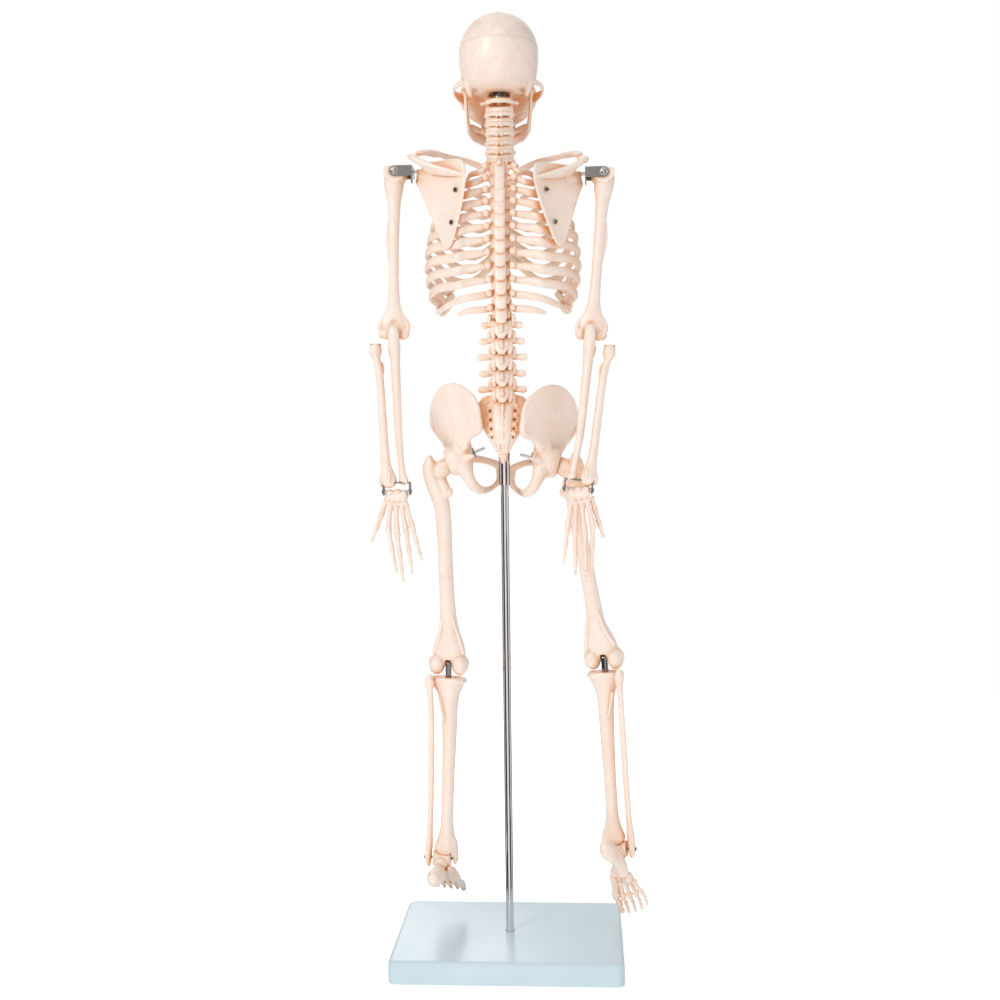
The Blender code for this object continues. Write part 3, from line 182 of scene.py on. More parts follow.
def dome(before, end):
    """Three shrinking stations beyond a tube's end."""
    way = Vector(end[:3]) - Vector(before[:3])
    way = way.normalized() * min(end[3], end[4])
    out = []
    for reach, keep in ((0.5, 0.87), (0.83, 0.56), (0.98, 0.16)):
        spot = Vector(end[:3]) + way * reach
        out.append((*spot, end[3] * keep, end[4] * keep))
    return out


def ball(bm, place, centre, radii, detail=4):
    rx, ry, rz = radii if isinstance(radii, tuple) else (radii, radii, radii)
    at = place(centre)
    for vert in bmesh.ops.create_icosphere(bm, subdivisions=detail, radius=1.0)["verts"]:
        x, y, z = vert.co
        vert.co = at + (place.x * x * rx + place.y * y * ry + place.z * z * rz) * MM


def drum(bm, place, start, end, radius, sides=48, radius_end=None):
    a, b = place(start), place(end)
    turn = (b - a).to_track_quat("Z", "Y").to_matrix().to_4x4()
    final = radius if radius_end is None else radius_end
    bmesh.ops.create_cone(bm, cap_ends=True, segments=sides, radius1=radius * MM, radius2=final * MM,
                          depth=(b - a).length, matrix=Matrix.Translation((a + b) / 2) @ turn)


def brick(bm, place, low, high):
    for vert in bmesh.ops.create_cube(bm, size=1.0)["verts"]:
        vert.co = place([low[axis] if vert.co[axis] < 0 else high[axis] for axis in range(3)])


def sheet_of(bm, place, rows, steps=4, edge=0.5):
    """A curved plate: rows of points (x, y, z, half thickness), smooth both ways, thin at its rim."""
    rows = [smooth(row, steps) for row in rows]
    rows = [list(column) for column in zip(*[smooth(column, steps) for column in zip(*rows)])]
    count, width = len(rows), len(rows[0])
    points = [[place(p[:3]) for p in row] for row in rows]
    front, rear = [], []
    for i in range(count):
        front.append([])
        rear.append([])
        for j in range(width):
            du = points[min(i + 1, count - 1)][j] - points[max(i - 1, 0)][j]
            dv = points[i][min(j + 1, width - 1)] - points[i][max(j - 1, 0)]
            normal = du.cross(dv)
            normal = normal.normalized() if normal.length > 1e-12 else place.y
            border = i in (0, count - 1) or j in (0, width - 1)
            half = rows[i][j][3] * MM * (edge if border else 1.0)
            front[i].append(bm.verts.new(points[i][j] + normal * half))
            rear[i].append(bm.verts.new(points[i][j] - normal * half))
    for i in range(count - 1):
        for j in range(width - 1):
            bm.faces.new((front[i][j], front[i][j + 1], front[i + 1][j + 1], front[i + 1][j]))
            bm.faces.new((rear[i][j], rear[i + 1][j], rear[i + 1][j + 1], rear[i][j + 1]))
    ring = [(0, j) for j in range(width)] + [(i, width - 1) for i in range(1, count)]
    ring += [(count - 1, j) for j in range(width - 2, -1, -1)] + [(i, 0) for i in range(count - 2, 0, -1)]
    for (i, j), (k, m) in zip(ring, ring[1:] + ring[:1]):
        bm.faces.new((front[i][j], rear[i][j], rear[k][m], front[k][m]))


def helix(bm, place, start, end, radius, wire, turns, sides=10):
    """A coil spring from start to end along the chart's line between them."""
    a, b = Vector(start), Vector(end)
    along = (b - a).normalized()
    one = along.orthogonal().normalized()
    two = along.cross(one)
    rows = []
    count = int(turns * 20)
    for step in range(count + 1):
        angle = 2 * math.pi * turns * step / count
        spot = a + (b - a) * step / count + (one * math.cos(angle) + two * math.sin(angle)) * radius
        rows.append((*spot, wire))
    limb(bm, place, rows, sides=sides, steps=1, across=tuple(along))


# ---------------------------------------------------------------- objects

def thing_from(bm, name):
    bmesh.ops.recalc_face_normals(bm, faces=bm.faces)
    if bm.calc_volume(signed=True) < 0:
        bmesh.ops.reverse_faces(bm, faces=bm.faces)
    mesh = bpy.data.meshes.new(name)
    bm.to_mesh(mesh)
    bm.free()
    made = bpy.data.objects.new(name, mesh)
    bpy.context.scene.collection.objects.link(made)
    return made


def settle(thing):
    """Replaces an object's mesh by the one its modifiers make."""
    bpy.context.view_layer.update()
    graph = bpy.context.evaluated_depsgraph_get()
    mesh = bpy.data.meshes.new_from_object(thing.evaluated_get(graph))
    old = thing.data
    thing.modifiers.clear()
    thing.data = mesh
    bpy.data.meshes.remove(old)
    return thing


def remeshed(thing, voxel, relax):
    step = thing.modifiers.new("melt", "REMESH")
    step.mode = "VOXEL"
    step.voxel_size = voxel * MM
    if relax:
        ease = thing.modifiers.new("ease", "SMOOTH")
        ease.factor = 0.5
        ease.iterations = relax
    return settle(thing)


UNEVEN = bpy.data.textures.new("uneven", "CLOUDS")
UNEVEN.noise_scale = 0.011
UNEVEN.noise_depth = 3


def melted(name, bm, voxel=0.5, relax=4, uneven=0.35):
    """One smooth moulded skin round overlapping solids, a little uneven as cast bone is."""
    made = thing_from(bm, name)
    remeshed(made, voxel, relax)
    if uneven:
        wave = made.modifiers.new("wave", "DISPLACE")
        wave.texture = UNEVEN
        wave.texture_coords = "GLOBAL"
        wave.strength = uneven * MM
        wave.mid_level = 0.5
        settle(made)
    return made


def boolean(thing, bm, operation="DIFFERENCE", solver="MANIFOLD"):
    tool = thing_from(bm, "tool")
    step = thing.modifiers.new("cut", "BOOLEAN")
    step.operation = operation
    step.solver = solver
    step.object = tool
    settle(thing)
    bpy.data.objects.remove(tool, do_unlink=True)


def carve(thing, *solids):
    """Takes each solid out of a piece in turn; a solid is a function that draws into a mesh."""
    for draw in solids:
        bm = bmesh.new()
        draw(bm)
        boolean(thing, bm)


def bevelled(thing, width, segments=3, angle=35):
    step = thing.modifiers.new("round", "BEVEL")
    step.width = width * MM
    step.segments = segments
    step.limit_method = "ANGLE"
    step.angle_limit = math.radians(angle)
    step.harden_normals = False
    return settle(thing)


def shade(thing, angle=None):
    """Smooth shading everywhere, or only across edges flatter than an angle."""
    mesh = thing.data
    for face in mesh.polygons:
        face.use_smooth = True
    if angle is not None:
        mesh.set_sharp_from_angle(angle=math.radians(angle))


def piece(thing, body, slot, look, *nodes, angle=None):
    """Finishes a piece: shading, material, and what it rides on and stands for."""
    shade(thing, angle)
    thing.data.materials.clear()
    thing.data.materials.append(look)
    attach(thing, body)
    if nodes:
        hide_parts(*nodes)
    return thing


def bone(thing, body, *nodes):
    return piece(thing, body, "bone_plastic", BONE, *nodes)


# ---------------------------------------------------------------- finishes

class Nodes:
    """Short hand for building a material's node tree."""

    def __init__(self, name):
        self.material = bpy.data.materials.new(name)
        self.material.use_nodes = True
        self.tree = self.material.node_tree
        self.shader = self.tree.nodes["Principled BSDF"]

    def add(self, kind, settings=(), **inputs):
        made = self.tree.nodes.new(kind)
        for key, value in dict(settings).items():
            setattr(made, key, value)
        for key, value in inputs.items():
            self.feed(made.inputs[key.replace("_", " ")], value)
        return made

    def feed(self, socket, value):
        if isinstance(value, bpy.types.NodeSocket):
            self.tree.links.new(value, socket)
        else:
            socket.default_value = value

    def ramp(self, value, stops):
        made = self.add("ShaderNodeValToRGB", Fac=value)
        band = made.color_ramp
        while len(band.elements) < len(stops):
            band.elements.new(0.5)
        for element, (place, colour) in zip(band.elements, stops):
            element.position = place
            element.color = (*colour, 1.0) if len(colour) == 3 else (colour[0],) * 3 + (1.0,)
        return made.outputs["Color"]

    def mix(self, fac, one, two, kind="MIX"):
        made = self.tree.nodes.new("ShaderNodeMix")
        made.data_type = "RGBA"
        made.blend_type = kind
        self.feed(made.inputs[0], fac)
        self.feed(made.inputs[6], one)
        self.feed(made.inputs[7], two)
        return made.outputs[2]

    def noise(self, scale, detail=4.0, rough=0.55):
        spot = self.add("ShaderNodeTexCoord").outputs["Object"]
        made = self.add("ShaderNodeTexNoise", Vector=spot, Scale=scale, Detail=detail, Roughness=rough)
        return made.outputs["Fac"]

    def bump(self, height, strength, distance):
        made = self.add("ShaderNodeBump", Height=height, Strength=strength, Distance=distance)
        self.feed(self.shader.inputs["Normal"], made.outputs["Normal"])
        return made

    def set(self, **values):
        for key, value in values.items():
            self.feed(self.shader.inputs[key.replace("_", " ")], value)


def bone_finish(name, light, mid, deep, gloss, glow=0.10):
    """Moulded ivory plastic: mottled cream, with painted shade making it warmer and darker in hollows and along
    creases, and a soft sheen.
    """
    n = Nodes(name)
    mottle = n.ramp(n.noise(70.0, 5.0), [(0.34, mid), (0.66, light)])
    fine = n.ramp(n.noise(420.0, 3.0), [(0.35, (0.94,)), (0.62, (1.0,))])
    body = n.mix(1.0, mottle, fine, "MULTIPLY")
    # painted shade: warmer and deeper in hollows (ambient occlusion) and along creases, in the deep colour
    ao_for_painted_shade = n.add("ShaderNodeAmbientOcclusion", {"samples": 6}, Distance=0.034).outputs["AO"]
    hollow = n.ramp(ao_for_painted_shade, [(0.34, (1.0,)), (0.92, (0.0,))])
    hollow_shade_painted = n.mix(hollow, body, (*deep, 1.0))
    # painted shade along creases: concave spots take a darker copy of the deep colour
    point = n.add("ShaderNodeNewGeometry").outputs["Pointiness"]
    crease = n.ramp(point, [(0.44, (1.0,)), (0.50, (0.0,))])
    final = n.mix(crease, hollow_shade_painted, (*[c * 0.82 for c in deep], 1.0))
    n.set(Base_Color=final, IOR=1.5, Subsurface_Weight=glow, Subsurface_Scale=0.004,
          Subsurface_Radius=(1.0, 0.42, 0.2), Coat_Weight=0.25, Coat_Roughness=0.18)
    n.set(Roughness=n.add("ShaderNodeMapRange", Value=n.noise(160.0, 4.0), To_Min=gloss - 0.05,
                          To_Max=gloss + 0.09).outputs["Result"])
    n.bump(n.noise(900.0, 4.0), 0.25, 0.0002)
    return n.material


def metal_finish(name, colour, low, high, streak=None):
    """Plated steel: an even tone with slightly uneven polish and fine brushing or pitting."""
    n = Nodes(name)
    warm = [c * 0.9 for c in colour]
    n.set(Base_Color=n.ramp(n.noise(25.0, 3.0), [(0.3, tuple(warm)), (0.7, colour)]), Metallic=1.0)
    n.set(Roughness=n.add("ShaderNodeMapRange", Value=n.noise(260.0), To_Min=low,
                          To_Max=high).outputs["Result"])
    spot = n.add("ShaderNodeTexCoord").outputs["Object"]
    stretch = n.add("ShaderNodeMapping", Vector=spot, Scale=streak or (1.0, 1.0, 1.0)).outputs["Vector"]
    grain = n.add("ShaderNodeTexNoise", Vector=stretch, Scale=1400.0, Detail=3.0).outputs["Fac"]
    n.bump(grain, 0.05, 0.00004)
    return n.material


def base_finish():
    """Pale blue-grey glossy plastic with a faint moulding grain and hairline scuffs."""
    n = Nodes("base_blue_grey_plastic")
    tone = n.ramp(n.noise(16.0, 3.0), [(0.3, (0.52, 0.635, 0.70)), (0.7, (0.57, 0.68, 0.745))])
    n.set(Base_Color=tone, IOR=1.5, Coat_Weight=0.35, Coat_Roughness=0.22)
    spot = n.add("ShaderNodeTexCoord").outputs["Object"]
    long = n.add("ShaderNodeMapping", Vector=spot, Scale=(1.0, 14.0, 1.0)).outputs["Vector"]
    hair = n.add("ShaderNodeTexNoise", Vector=long, Scale=60.0, Detail=6.0).outputs["Fac"]
    n.set(Roughness=n.add("ShaderNodeMapRange", Value=hair, To_Min=0.26, To_Max=0.34).outputs["Result"])
    n.bump(n.noise(1500.0, 2.0), 0.1, 0.0001)
    return n.material


# the third colour of each finish is its painted shade colour, used in hollows and along creases
BONE = bone_finish("bone_ivory_plastic", (0.92, 0.785, 0.70), (0.89, 0.735, 0.635), (0.88, 0.47, 0.22), 0.34)
TOOTH = bone_finish("tooth_enamel_plastic", (0.92, 0.87, 0.76), (0.88, 0.81, 0.68), (0.72, 0.52, 0.32), 0.22)
CARTILAGE = bone_finish("cartilage_cream_plastic", (0.92, 0.82, 0.68), (0.88, 0.76, 0.60),
                        (0.80, 0.46, 0.22), 0.42)
CHROME = metal_finish("polished_chrome", (0.86, 0.85, 0.86), 0.03, 0.06, (1.0, 1.0, 0.03))
STEEL = metal_finish("plated_screw_steel", (0.66, 0.64, 0.62), 0.10, 0.20)
DARK = metal_finish("dark_nickel_strap", (0.27, 0.255, 0.24), 0.12, 0.22, (0.05, 1.0, 1.0))
BASE = base_finish()


# ---------------------------------------------------------------- stand

def build_stand():
    bm = bmesh.new()
    wide, deep = BASE_HALF
    brick(bm, WORLD, (-wide, -deep, 0), (wide, deep, BASE_TOP))
    upright = [e for e in bm.edges if abs(e.verts[0].co.z - e.verts[1].co.z) > MM]
    bmesh.ops.bevel(bm, geom=upright, offset=7 * MM, segments=10, affect="EDGES", profile=0.5)
    rim = [e for e in bm.edges if min(e.verts[0].co.z, e.verts[1].co.z) > (BASE_TOP - 1) * MM]
    bmesh.ops.bevel(bm, geom=rim, offset=4.2 * MM, segments=8, affect="EDGES", profile=0.5)
    under = [e for e in bm.edges if max(e.verts[0].co.z, e.verts[1].co.z) < 0.5 * MM]
    bmesh.ops.bevel(bm, geom=under, offset=1.0 * MM, segments=3, affect="EDGES", profile=0.5)
    base = thing_from(bm, "stand_base")
    hole = POLE_R + 0.25
    inner = (wide - BASE_WALL - 0.3, deep - BASE_WALL)
    carve(base, lambda m: drum(m, WORLD, (0, 0, POLE_FOOT), (0, 0, 30), hole, 64),
          lambda m: drum(m, WORLD, (0, 0, BASE_TOP - 0.5), (0, 0, BASE_TOP + 0.1), hole, 64, 4.4),
          lambda m: brick(m, WORLD, (-inner[0], -inner[1], -5), (inner[0], inner[1], 1.2)))
    piece(base, "stand", "base_plastic", BASE, "base", angle=40)
    bm = bmesh.new()
    drum(bm, WORLD, (0, 0, POLE_FOOT + 0.3), (0, 0, POLE_TOP), POLE_R, 96)
    bmesh.ops.bevel(bm, geom=[e for e in bm.edges if len(e.link_faces) == 2 and e.calc_face_angle() > 1],
                    offset=0.7 * MM, segments=3, affect="EDGES")
    piece(thing_from(bm, "stand_pole"), "stand", "chrome_tube", CHROME, "pole", angle=50)
    bm = bmesh.new()
    low, high = SLEEVE_Z
    drum(bm, WORLD, (0, 0, low), (0, 0, high), SLEEVE_R, 96)
    sleeve = bevelled(thing_from(bm, "pole_socket_sleeve"), 0.5)
    carve(sleeve, lambda m: drum(m, WORLD, (0, 0, low - 5), (0, 0, high + 4), POLE_R + 0.12, 96))
    piece(sleeve, "torso", "chrome_tube", CHROME, "pole_sleeve", angle=50)


# ---------------------------------------------------------------- head

def wobble(t, size=1.0):
    """The zigzag of a suture along its length in millimetres."""
    return size * (0.8 * math.sin(t * 1.7) + 0.5 * math.sin(t * 3.9 + 1.0) + 0.35 * math.sin(t * 7.3 + 2.0))


def cranium(bm, place):
    """The braincase: broad behind, narrower in front, hollow at the temples, full and flat underneath."""
    for vert in bmesh.ops.create_icosphere(bm, subdivisions=6, radius=1.0)["verts"]:
        nx, ny, nz = vert.co
        rx, ry = 35.2, 43.6
        front = max(0.0, -ny)
        rx *= 1.0 - 0.15 * front ** 1.5 + 0.03 * math.exp(-((ny - 0.25) / 0.35) ** 2)
        rx *= 1.0 - 0.07 * math.exp(-((nz + 0.25) / 0.3) ** 2 - ((ny + 0.55) / 0.3) ** 2)
        rx = min(rx, 35.9)
        if nz < 0:
            flat = math.hypot(nx, ny)
            fuller = flat ** (LOWER_FULL - 1.0) if flat > 1e-6 else 0.0
            nx, ny = nx * fuller, ny * fuller
            high = -36.2 * abs(nz) ** LOWER_FULL
            rx *= 1.0 - 0.09 * (high / 36.2) ** 2
            ry *= 1.0 - 0.12 * (high / 36.2) ** 2
        else:
            high = 34.8 * nz
        vert.co = Vector(place((nx * rx, -1.0 + ny * ry, 812.0 + high)))


def grooves(thing, place, rows, depth, width):
    """Presses fine lines into a skin: each row gives a vertex's distance from the line, or None."""
    mesh = thing.data
    spin = Matrix((place.x, place.y, place.z))
    normals = [v.normal.copy() for v in mesh.vertices]
    for vert, normal in zip(mesh.vertices, normals):
        local = spin @ (vert.co / MM - place.origin)
        press = 0.0
        for line in rows:
            away = line(local)
            if away is not None and abs(away) < 3 * width:
                press = max(press, math.exp(-(away / width) ** 2))
        if press > 0.01:
            vert.co -= normal * press * depth * MM


def sagittal(p):
    return p.x + wobble(p.y, 0.7) if p.z > 828 and -14 < p.y < 36 else None


def coronal(p):
    front = -14.0 - 0.12 * (850 - p.z)
    return p.y - front + wobble(abs(p.x) + p.z * 0.5, 0.7) if p.z > 800 and p.y < 10 else None


def lambdoid(p):
    if p.y < 15 or p.z > 830 or p.z < 786:
        return None
    return (abs(p.x) - (830 - p.z) * 0.82) * 0.77 + wobble(p.z, 0.9)


def squamous(p):
    if abs(p.x) < 25 or p.z > 815 or p.z < 790:
        return None
    reach = math.hypot((p.y + 4) / 19.0, (p.z - 789) / 20.0)
    return (reach - 1.0) * 18 if -24 < p.y < 16 else None


def build_skull():
    place = head_chart()
    bm = bmesh.new()
    cranium(bm, place)
    # face: frontal block, maxilla, nasal bridge, hard palate, skull base
    limb(bm, place, [(0, -33, 803, (21, 9)), (0, -34, 790, (15, 9)), (0, -34.5, 776, (13.5, 10)),
                     (0, -36, 766, (13, 10.5)), (0, -37, 759.5, (12.2, 10))], 28)
    limb(bm, place, [(0, -44.5, 804, (3.6, 3.0)), (0, -47.2, 797, (3.0, 2.6)), (0, -51.0, 788.5, (3.2, 2.2)),
                     (0, -53.5, 785, (3.0, 1.5))], 16)
    limb(bm, place, [(0, 10, 781, (17, 5)), (0, -12, 779, (15, 7)), (0, -28, 774, (13, 8))], 24)
    for side in (1, -1):
        flank = head_chart(side)
        limb(bm, flank, [(2, -45.6, 803.5, 3.2), (8, -46.6, 804.8, 3.6), (16, -45.4, 805, 3.2),
                         (23, -41, 802.5, 3.0), (28.6, -36.5, 797, 3.0)], 14)
        limb(bm, flank, [(28.2, -37, 799, 2.8), (30.6, -34.5, 792, 2.6), (31.6, -33.5, 785, 3.8),
                         (30.4, -34.5, 777.5, (4.4, 4.8)), (26.0, -36.5, 771, (4.8, 5.0)),
                         (20.6, -37.4, 766, (4.6, 5.0)), (14, -38.0, 762.5, 4.6)], 16)
        limb(bm, flank, [(24, -38.5, 777, 3.6), (16, -40.5, 771, 4.6), (11, -41, 766, 4.6)], 14)
        ball(bm, flank, (13.0, -28.5, 785), (17.6, 15.4, 21), 5)
        ball(bm, flank, (17.5, -33.5, 772), (10.5, 9.0, 9.5), 5)
        limb(bm, flank, [(28, -37.4, 781.0, 2.8), (20, -42.0, 780.4, 2.8), (12, -44.6, 782.5, 2.6)], 14)
        limb(bm, flank, [(31, -33, 781, (2.4, 5.6)), (35.4, -26, 781, (1.7, 4.6)),
                         (38.8, -15, 781.4, (1.5, 3.2)),
                         (39.4, -6, 782.4, (1.5, 2.7)), (37.4, 1.5, 784, (1.7, 2.6)),
                         (31.5, 6, 786.5, (2.4, 3.0))],
             14, across=(1, 0, 0))
        limb(bm, flank, [(6.0, -43.6, 789, 3.4), (7.6, -43.8, 780, 3.4), (8.0, -43.6, 771.5, 3.6),
                         (5.0, -45.2, 766.0, 3.0), (0, -46.0, 764.8, 3.0)], 16)
        limb(bm, flank, [(11.4, -22, 762.5, 2.7), (12.8, -29, 761.5, 2.9), (12.4, -37, 761, 3.0),
                         (9.2, -43.6, 761, 3.0), (4, -47.2, 761, 3.0), (0, -47.9, 761, 3.0)], 14)
        limb(bm, flank, [(25, 9, 792, (6.5, 9)), (25.6, 8.5, 783, (5.0, 6.6)), (25.0, 7.5, 777.6, (3.2, 4.4)),
                         (24.6, 7, 775.2, (2.2, 2.8))], 18)
        limb(bm, flank, [(9, -20, 778, (2.0, 4.0)), (10, -20, 770, (1.0, 3.6)),
                         (10.6, -20, 763.5, (0.9, 2.4))],
             12)
        ball(bm, flank, (9.5, 2, 776.5), (3.4, 6.0, 2.4))
    skull = melted("skull", bm, 0.62, 8, 0.25)

    def orbit(side):
        flank = head_chart(side)

        def draw(m):
            ball(m, flank, (15.2, -45, 792.2), (9.4, 12, 8.2))
            ball(m, flank, (13.4, -36, 792), (6.4, 9, 5.8))
        return draw

    def nostril(side):
        flank = head_chart(side)

        def draw(m):
            ball(m, flank, (2.9, -50, 773.6), (2.5, 12, 5.6), 3)
            ball(m, flank, (2.0, -51, 779), (1.7, 11, 6.4), 3)
        return draw

    # overlapping balls have to be one solid for the cutter
    for make in (orbit, nostril):
        for side in (1, -1):
            bm = bmesh.new()
            make(side)(bm)
            tool = remeshed(thing_from(bm, "hollow"), 0.6, 3)
            step = skull.modifiers.new("cut", "BOOLEAN")
            step.operation = "DIFFERENCE"
            step.solver = "MANIFOLD"
            step.object = tool
            settle(skull)
            bpy.data.objects.remove(tool, do_unlink=True)
    remeshed(skull, 0.58, 2)
    carve(skull, lambda m: ball(m, place, (0, -1, 811), (32.0, 40.2, 32.4), 5),
          lambda m: drum(m, WORLD, (0, 4, 760), (0, 4, 790), 2.6, 32),
          lambda m: drum(m, WORLD, (0, 4, 755), (0, 4, 776.6), 9.5, 64))
    grooves(skull, place, [sagittal, coronal, lambdoid, squamous], 0.26, 0.40)
    cap = skull.copy()
    cap.data = skull.data.copy()
    cap.name = "skull_calvarium"
    bpy.context.scene.collection.objects.link(cap)
    carve(skull, lambda m: brick(m, place, (-80, -80, CAP_CUT_Z - 0.05), (80, 80, 900)))
    carve(cap, lambda m: brick(m, place, (-80, -80, 700), (80, 80, CAP_CUT_Z + 0.12)))
    skull.name = "skull_lower"
    bone(skull, "head", "skull")
    bone(cap, "skull_cap", "skull_cap")
    shade(skull, 60)
    shade(cap, 60)

    bm = bmesh.new()
    arch(bm, 1)
    piece(melted("teeth_upper", bm, 0.22, 1, 0), "head", "bone_plastic", TOOTH)

    # the swivel spring between the skull and the neck plate
    bm = bmesh.new()
    helix(bm, WORLD, (0, 4, 774.0), (0, 4, 778.6), 6.6, 0.85, 3.0, 10)
    drum(bm, WORLD, (0, 4, 773.9), (0, 4, 780.5), 2.4, 32)
    piece(thing_from(bm, "neck_swivel_spring"), "head", "dark_steel", DARK, angle=40)
    for side, name in SIDES.items():
        bm = bmesh.new()
        screw(bm, head_chart(side), (20.5, 13.0, 776.4), 1.3, (0, 0.6, -1), 1.0)
        piece(thing_from(bm, f"jaw_hook_screw_{name}"), "head", "bright_steel", STEEL, angle=35)


# half width of each tooth from the midline back, upper and lower
TOOTH_HALF = {1: [2.0, 1.6, 1.8, 1.7, 1.7, 2.4, 2.3, 2.0], -1: [1.3, 1.4, 1.6, 1.7, 1.7, 2.5, 2.4, 2.1]}


def arch(bm, upper):
    """Sixteen teeth along the dental arch, upper (1) or lower (-1)."""
    back, front = (-22.0, -48.6) if upper == 1 else (-21.0, -47.2)
    wide = 13.6 if upper == 1 else 13.0
    for side in (1, -1):
        flank = head_chart(side)
        travelled = 0.0
        for number, half in enumerate(TOOTH_HALF[upper]):
            travelled += half
            share = travelled / 32.5
            travelled += half
            angle = share * math.pi / 2 * 1.06
            x = wide * math.sin(min(angle, math.pi / 2)) ** 0.9
            y = back - (back - front) * math.cos(min(angle, 1.66))
            along = Vector((wide * math.cos(angle), (back - front) * math.sin(angle), 0)).normalized()
            out = Vector((along.y, -along.x, 0))
            deep = 1.1 if number < 3 else 1.9 if number < 5 else 2.4
            root = 758.6 if upper == 1 else 749.4
            tip = 753.9 if upper == 1 else 754.6
            tooth = Chart(flank.origin + flank.x * x + flank.y * y, flank.x * along.x + flank.y * along.y,
                          flank.x * out.x + flank.y * out.y)
            limb(bm, tooth, [(0, 0, root, (half * 0.72, deep * 0.8)),
                             (0, 0, (root + tip) / 2, (half * 0.93, deep)),
                             (0, 0, tip + 0.8 * upper, (half * 0.97, deep * (0.6 if number < 3 else 0.92)))],
                 12, 3)


def build_jaw():
    place = head_chart()
    bm = bmesh.new()
    for side in (1, -1):
        flank = head_chart(side)
        limb(bm, flank, [(29.4, -3.4, 781.4, (3.4, 2.0)), (29, -4.6, 777, (2.0, 2.4)),
                         (28.7, -7, 770, (1.7, 4.8)),
                         (28.4, -9.5, 762, (1.7, 6.8)), (27.4, -12, 754, (2.0, 6.6)),
                         (26.4, -14, 748.5, (2.4, 5.0))],
             20)
        limb(bm, flank, [(26.6, -12.5, 749.5, (4.4, 2.2)), (22.6, -23.5, 746.4, (5.2, 2.7)),
                         (18, -34, 745.8, (5.1, 2.9)),
                         (12, -43.5, 745.4, (5.4, 3.0)), (5, -48.6, 745.2, (5.7, 3.1)),
                         (0, -49.6, 745.2, (5.8, 3.2))],
             20, across=(0, 0, 1))
        limb(bm, flank, [(28.4, -13, 762, (1.5, 4)), (28.6, -15.5, 770, (1.3, 3)),
                         (28.8, -17, 777, (1.0, 1.5))],
             14, across=(1, 0, 0))
        limb(bm, flank, [(14.6, -21, 750.2, 2.3), (14.4, -29, 750.4, 2.4), (12.6, -37, 750.6, 2.5),
                         (9, -43, 750.6, 2.4), (4, -46.4, 750.6, 2.3), (0, -47, 750.6, 2.3)], 14)
        limb(bm, flank, [(24, -16, 752, 2.6), (19, -21, 750.5, 2.8), (15, -26, 750, 2.4)], 12)
        ball(bm, flank, (6.6, -49.4, 742.4), (3.6, 2.6, 2.6), 3)
    ball(bm, place, (0, -51, 743.4), (3.6, 2.6, 3.6), 3)
    jaw = melted("mandible_bone", bm, 0.5, 3, 0.25)
    bone(jaw, "jaw", "mandible")
    bm = bmesh.new()
    arch(bm, -1)
    piece(melted("teeth_lower", bm, 0.22, 1, 0), "jaw", "bone_plastic", TOOTH)
    for side, name in SIDES.items():
        flank = head_chart(side)
        bm = bmesh.new()
        screw(bm, flank, (27.6, -6.2, 774.4), 1.2, (-0.2, 1, 0.1), 1.0)
        piece(thing_from(bm, f"jaw_screw_{name}"), "jaw", "bright_steel", STEEL, angle=35)


def build_neck_plate():
    bm = bmesh.new()
    drum(bm, WORLD, (0, 4, 771.2), (0, 4, 773.4), 7.4, 64)
    plate = bevelled(thing_from(bm, "neck_plate"), 0.4)
    piece(plate, "torso", "dark_steel", DARK, "neck_bracket", angle=40)
    bm = bmesh.new()
    for angle in range(0, 360, 60):
        spot = (4.9 * math.cos(math.radians(angle)), 4 + 4.9 * math.sin(math.radians(angle)))
        drum(bm, WORLD, (*spot, 772.6), (*spot, 773.7), 0.9, 16)
    piece(thing_from(bm, "neck_plate_rivets"), "torso", "dark_steel", DARK, angle=40)


# ---------------------------------------------------------------- spine

def thoracic_levels():
    rows = []
    z = 708.0
    for index in range(12):
        rows.append((3.0 + 11.0 * math.sin(math.pi * (index + 1.5) / 14.0), z))
        z -= 10.0 + 0.23 * index
    return rows


THORACIC = thoracic_levels()


def tip_width(index):
    return 14.6 - 0.30 * index


def centrum(bm, y, z, wide, tall):
    """A vertebral body with rims at both ends and a waist."""
    deep = wide * 0.80
    half = tall / 2
    limb(bm, WORLD, [(0, y, z + half, (wide * 0.98, deep * 0.98)), (0, y, z + half * 0.72, (wide, deep)),
                     (0, y, z, (wide * 0.86, deep * 0.86)), (0, y, z - half * 0.72, (wide, deep)),
                     (0, y, z - half, (wide * 0.98, deep * 0.98))], 28, 3, round_ends=False)


def disc(name, y0, z0, y1, z1, wide):
    """A slightly bulging disc between two levels."""
    bm = bmesh.new()
    y, z, half = (y0 + y1) / 2, (z0 + z1) / 2, abs(z0 - z1) / 2
    limb(bm, WORLD, [(0, y, z + half, (wide * 0.9, wide * 0.72)),
                     (0, y, z + half * 0.5, (wide * 1.0, wide * 0.8)),
                     (0, y, z, (wide * 1.03, wide * 0.825)), (0, y, z - half * 0.5, (wide * 1.0, wide * 0.8)),
                     (0, y, z - half, (wide * 0.9, wide * 0.72))], 32, 2, round_ends=False)
    piece(thing_from(bm, name), "torso", "cartilage_plastic", CARTILAGE)


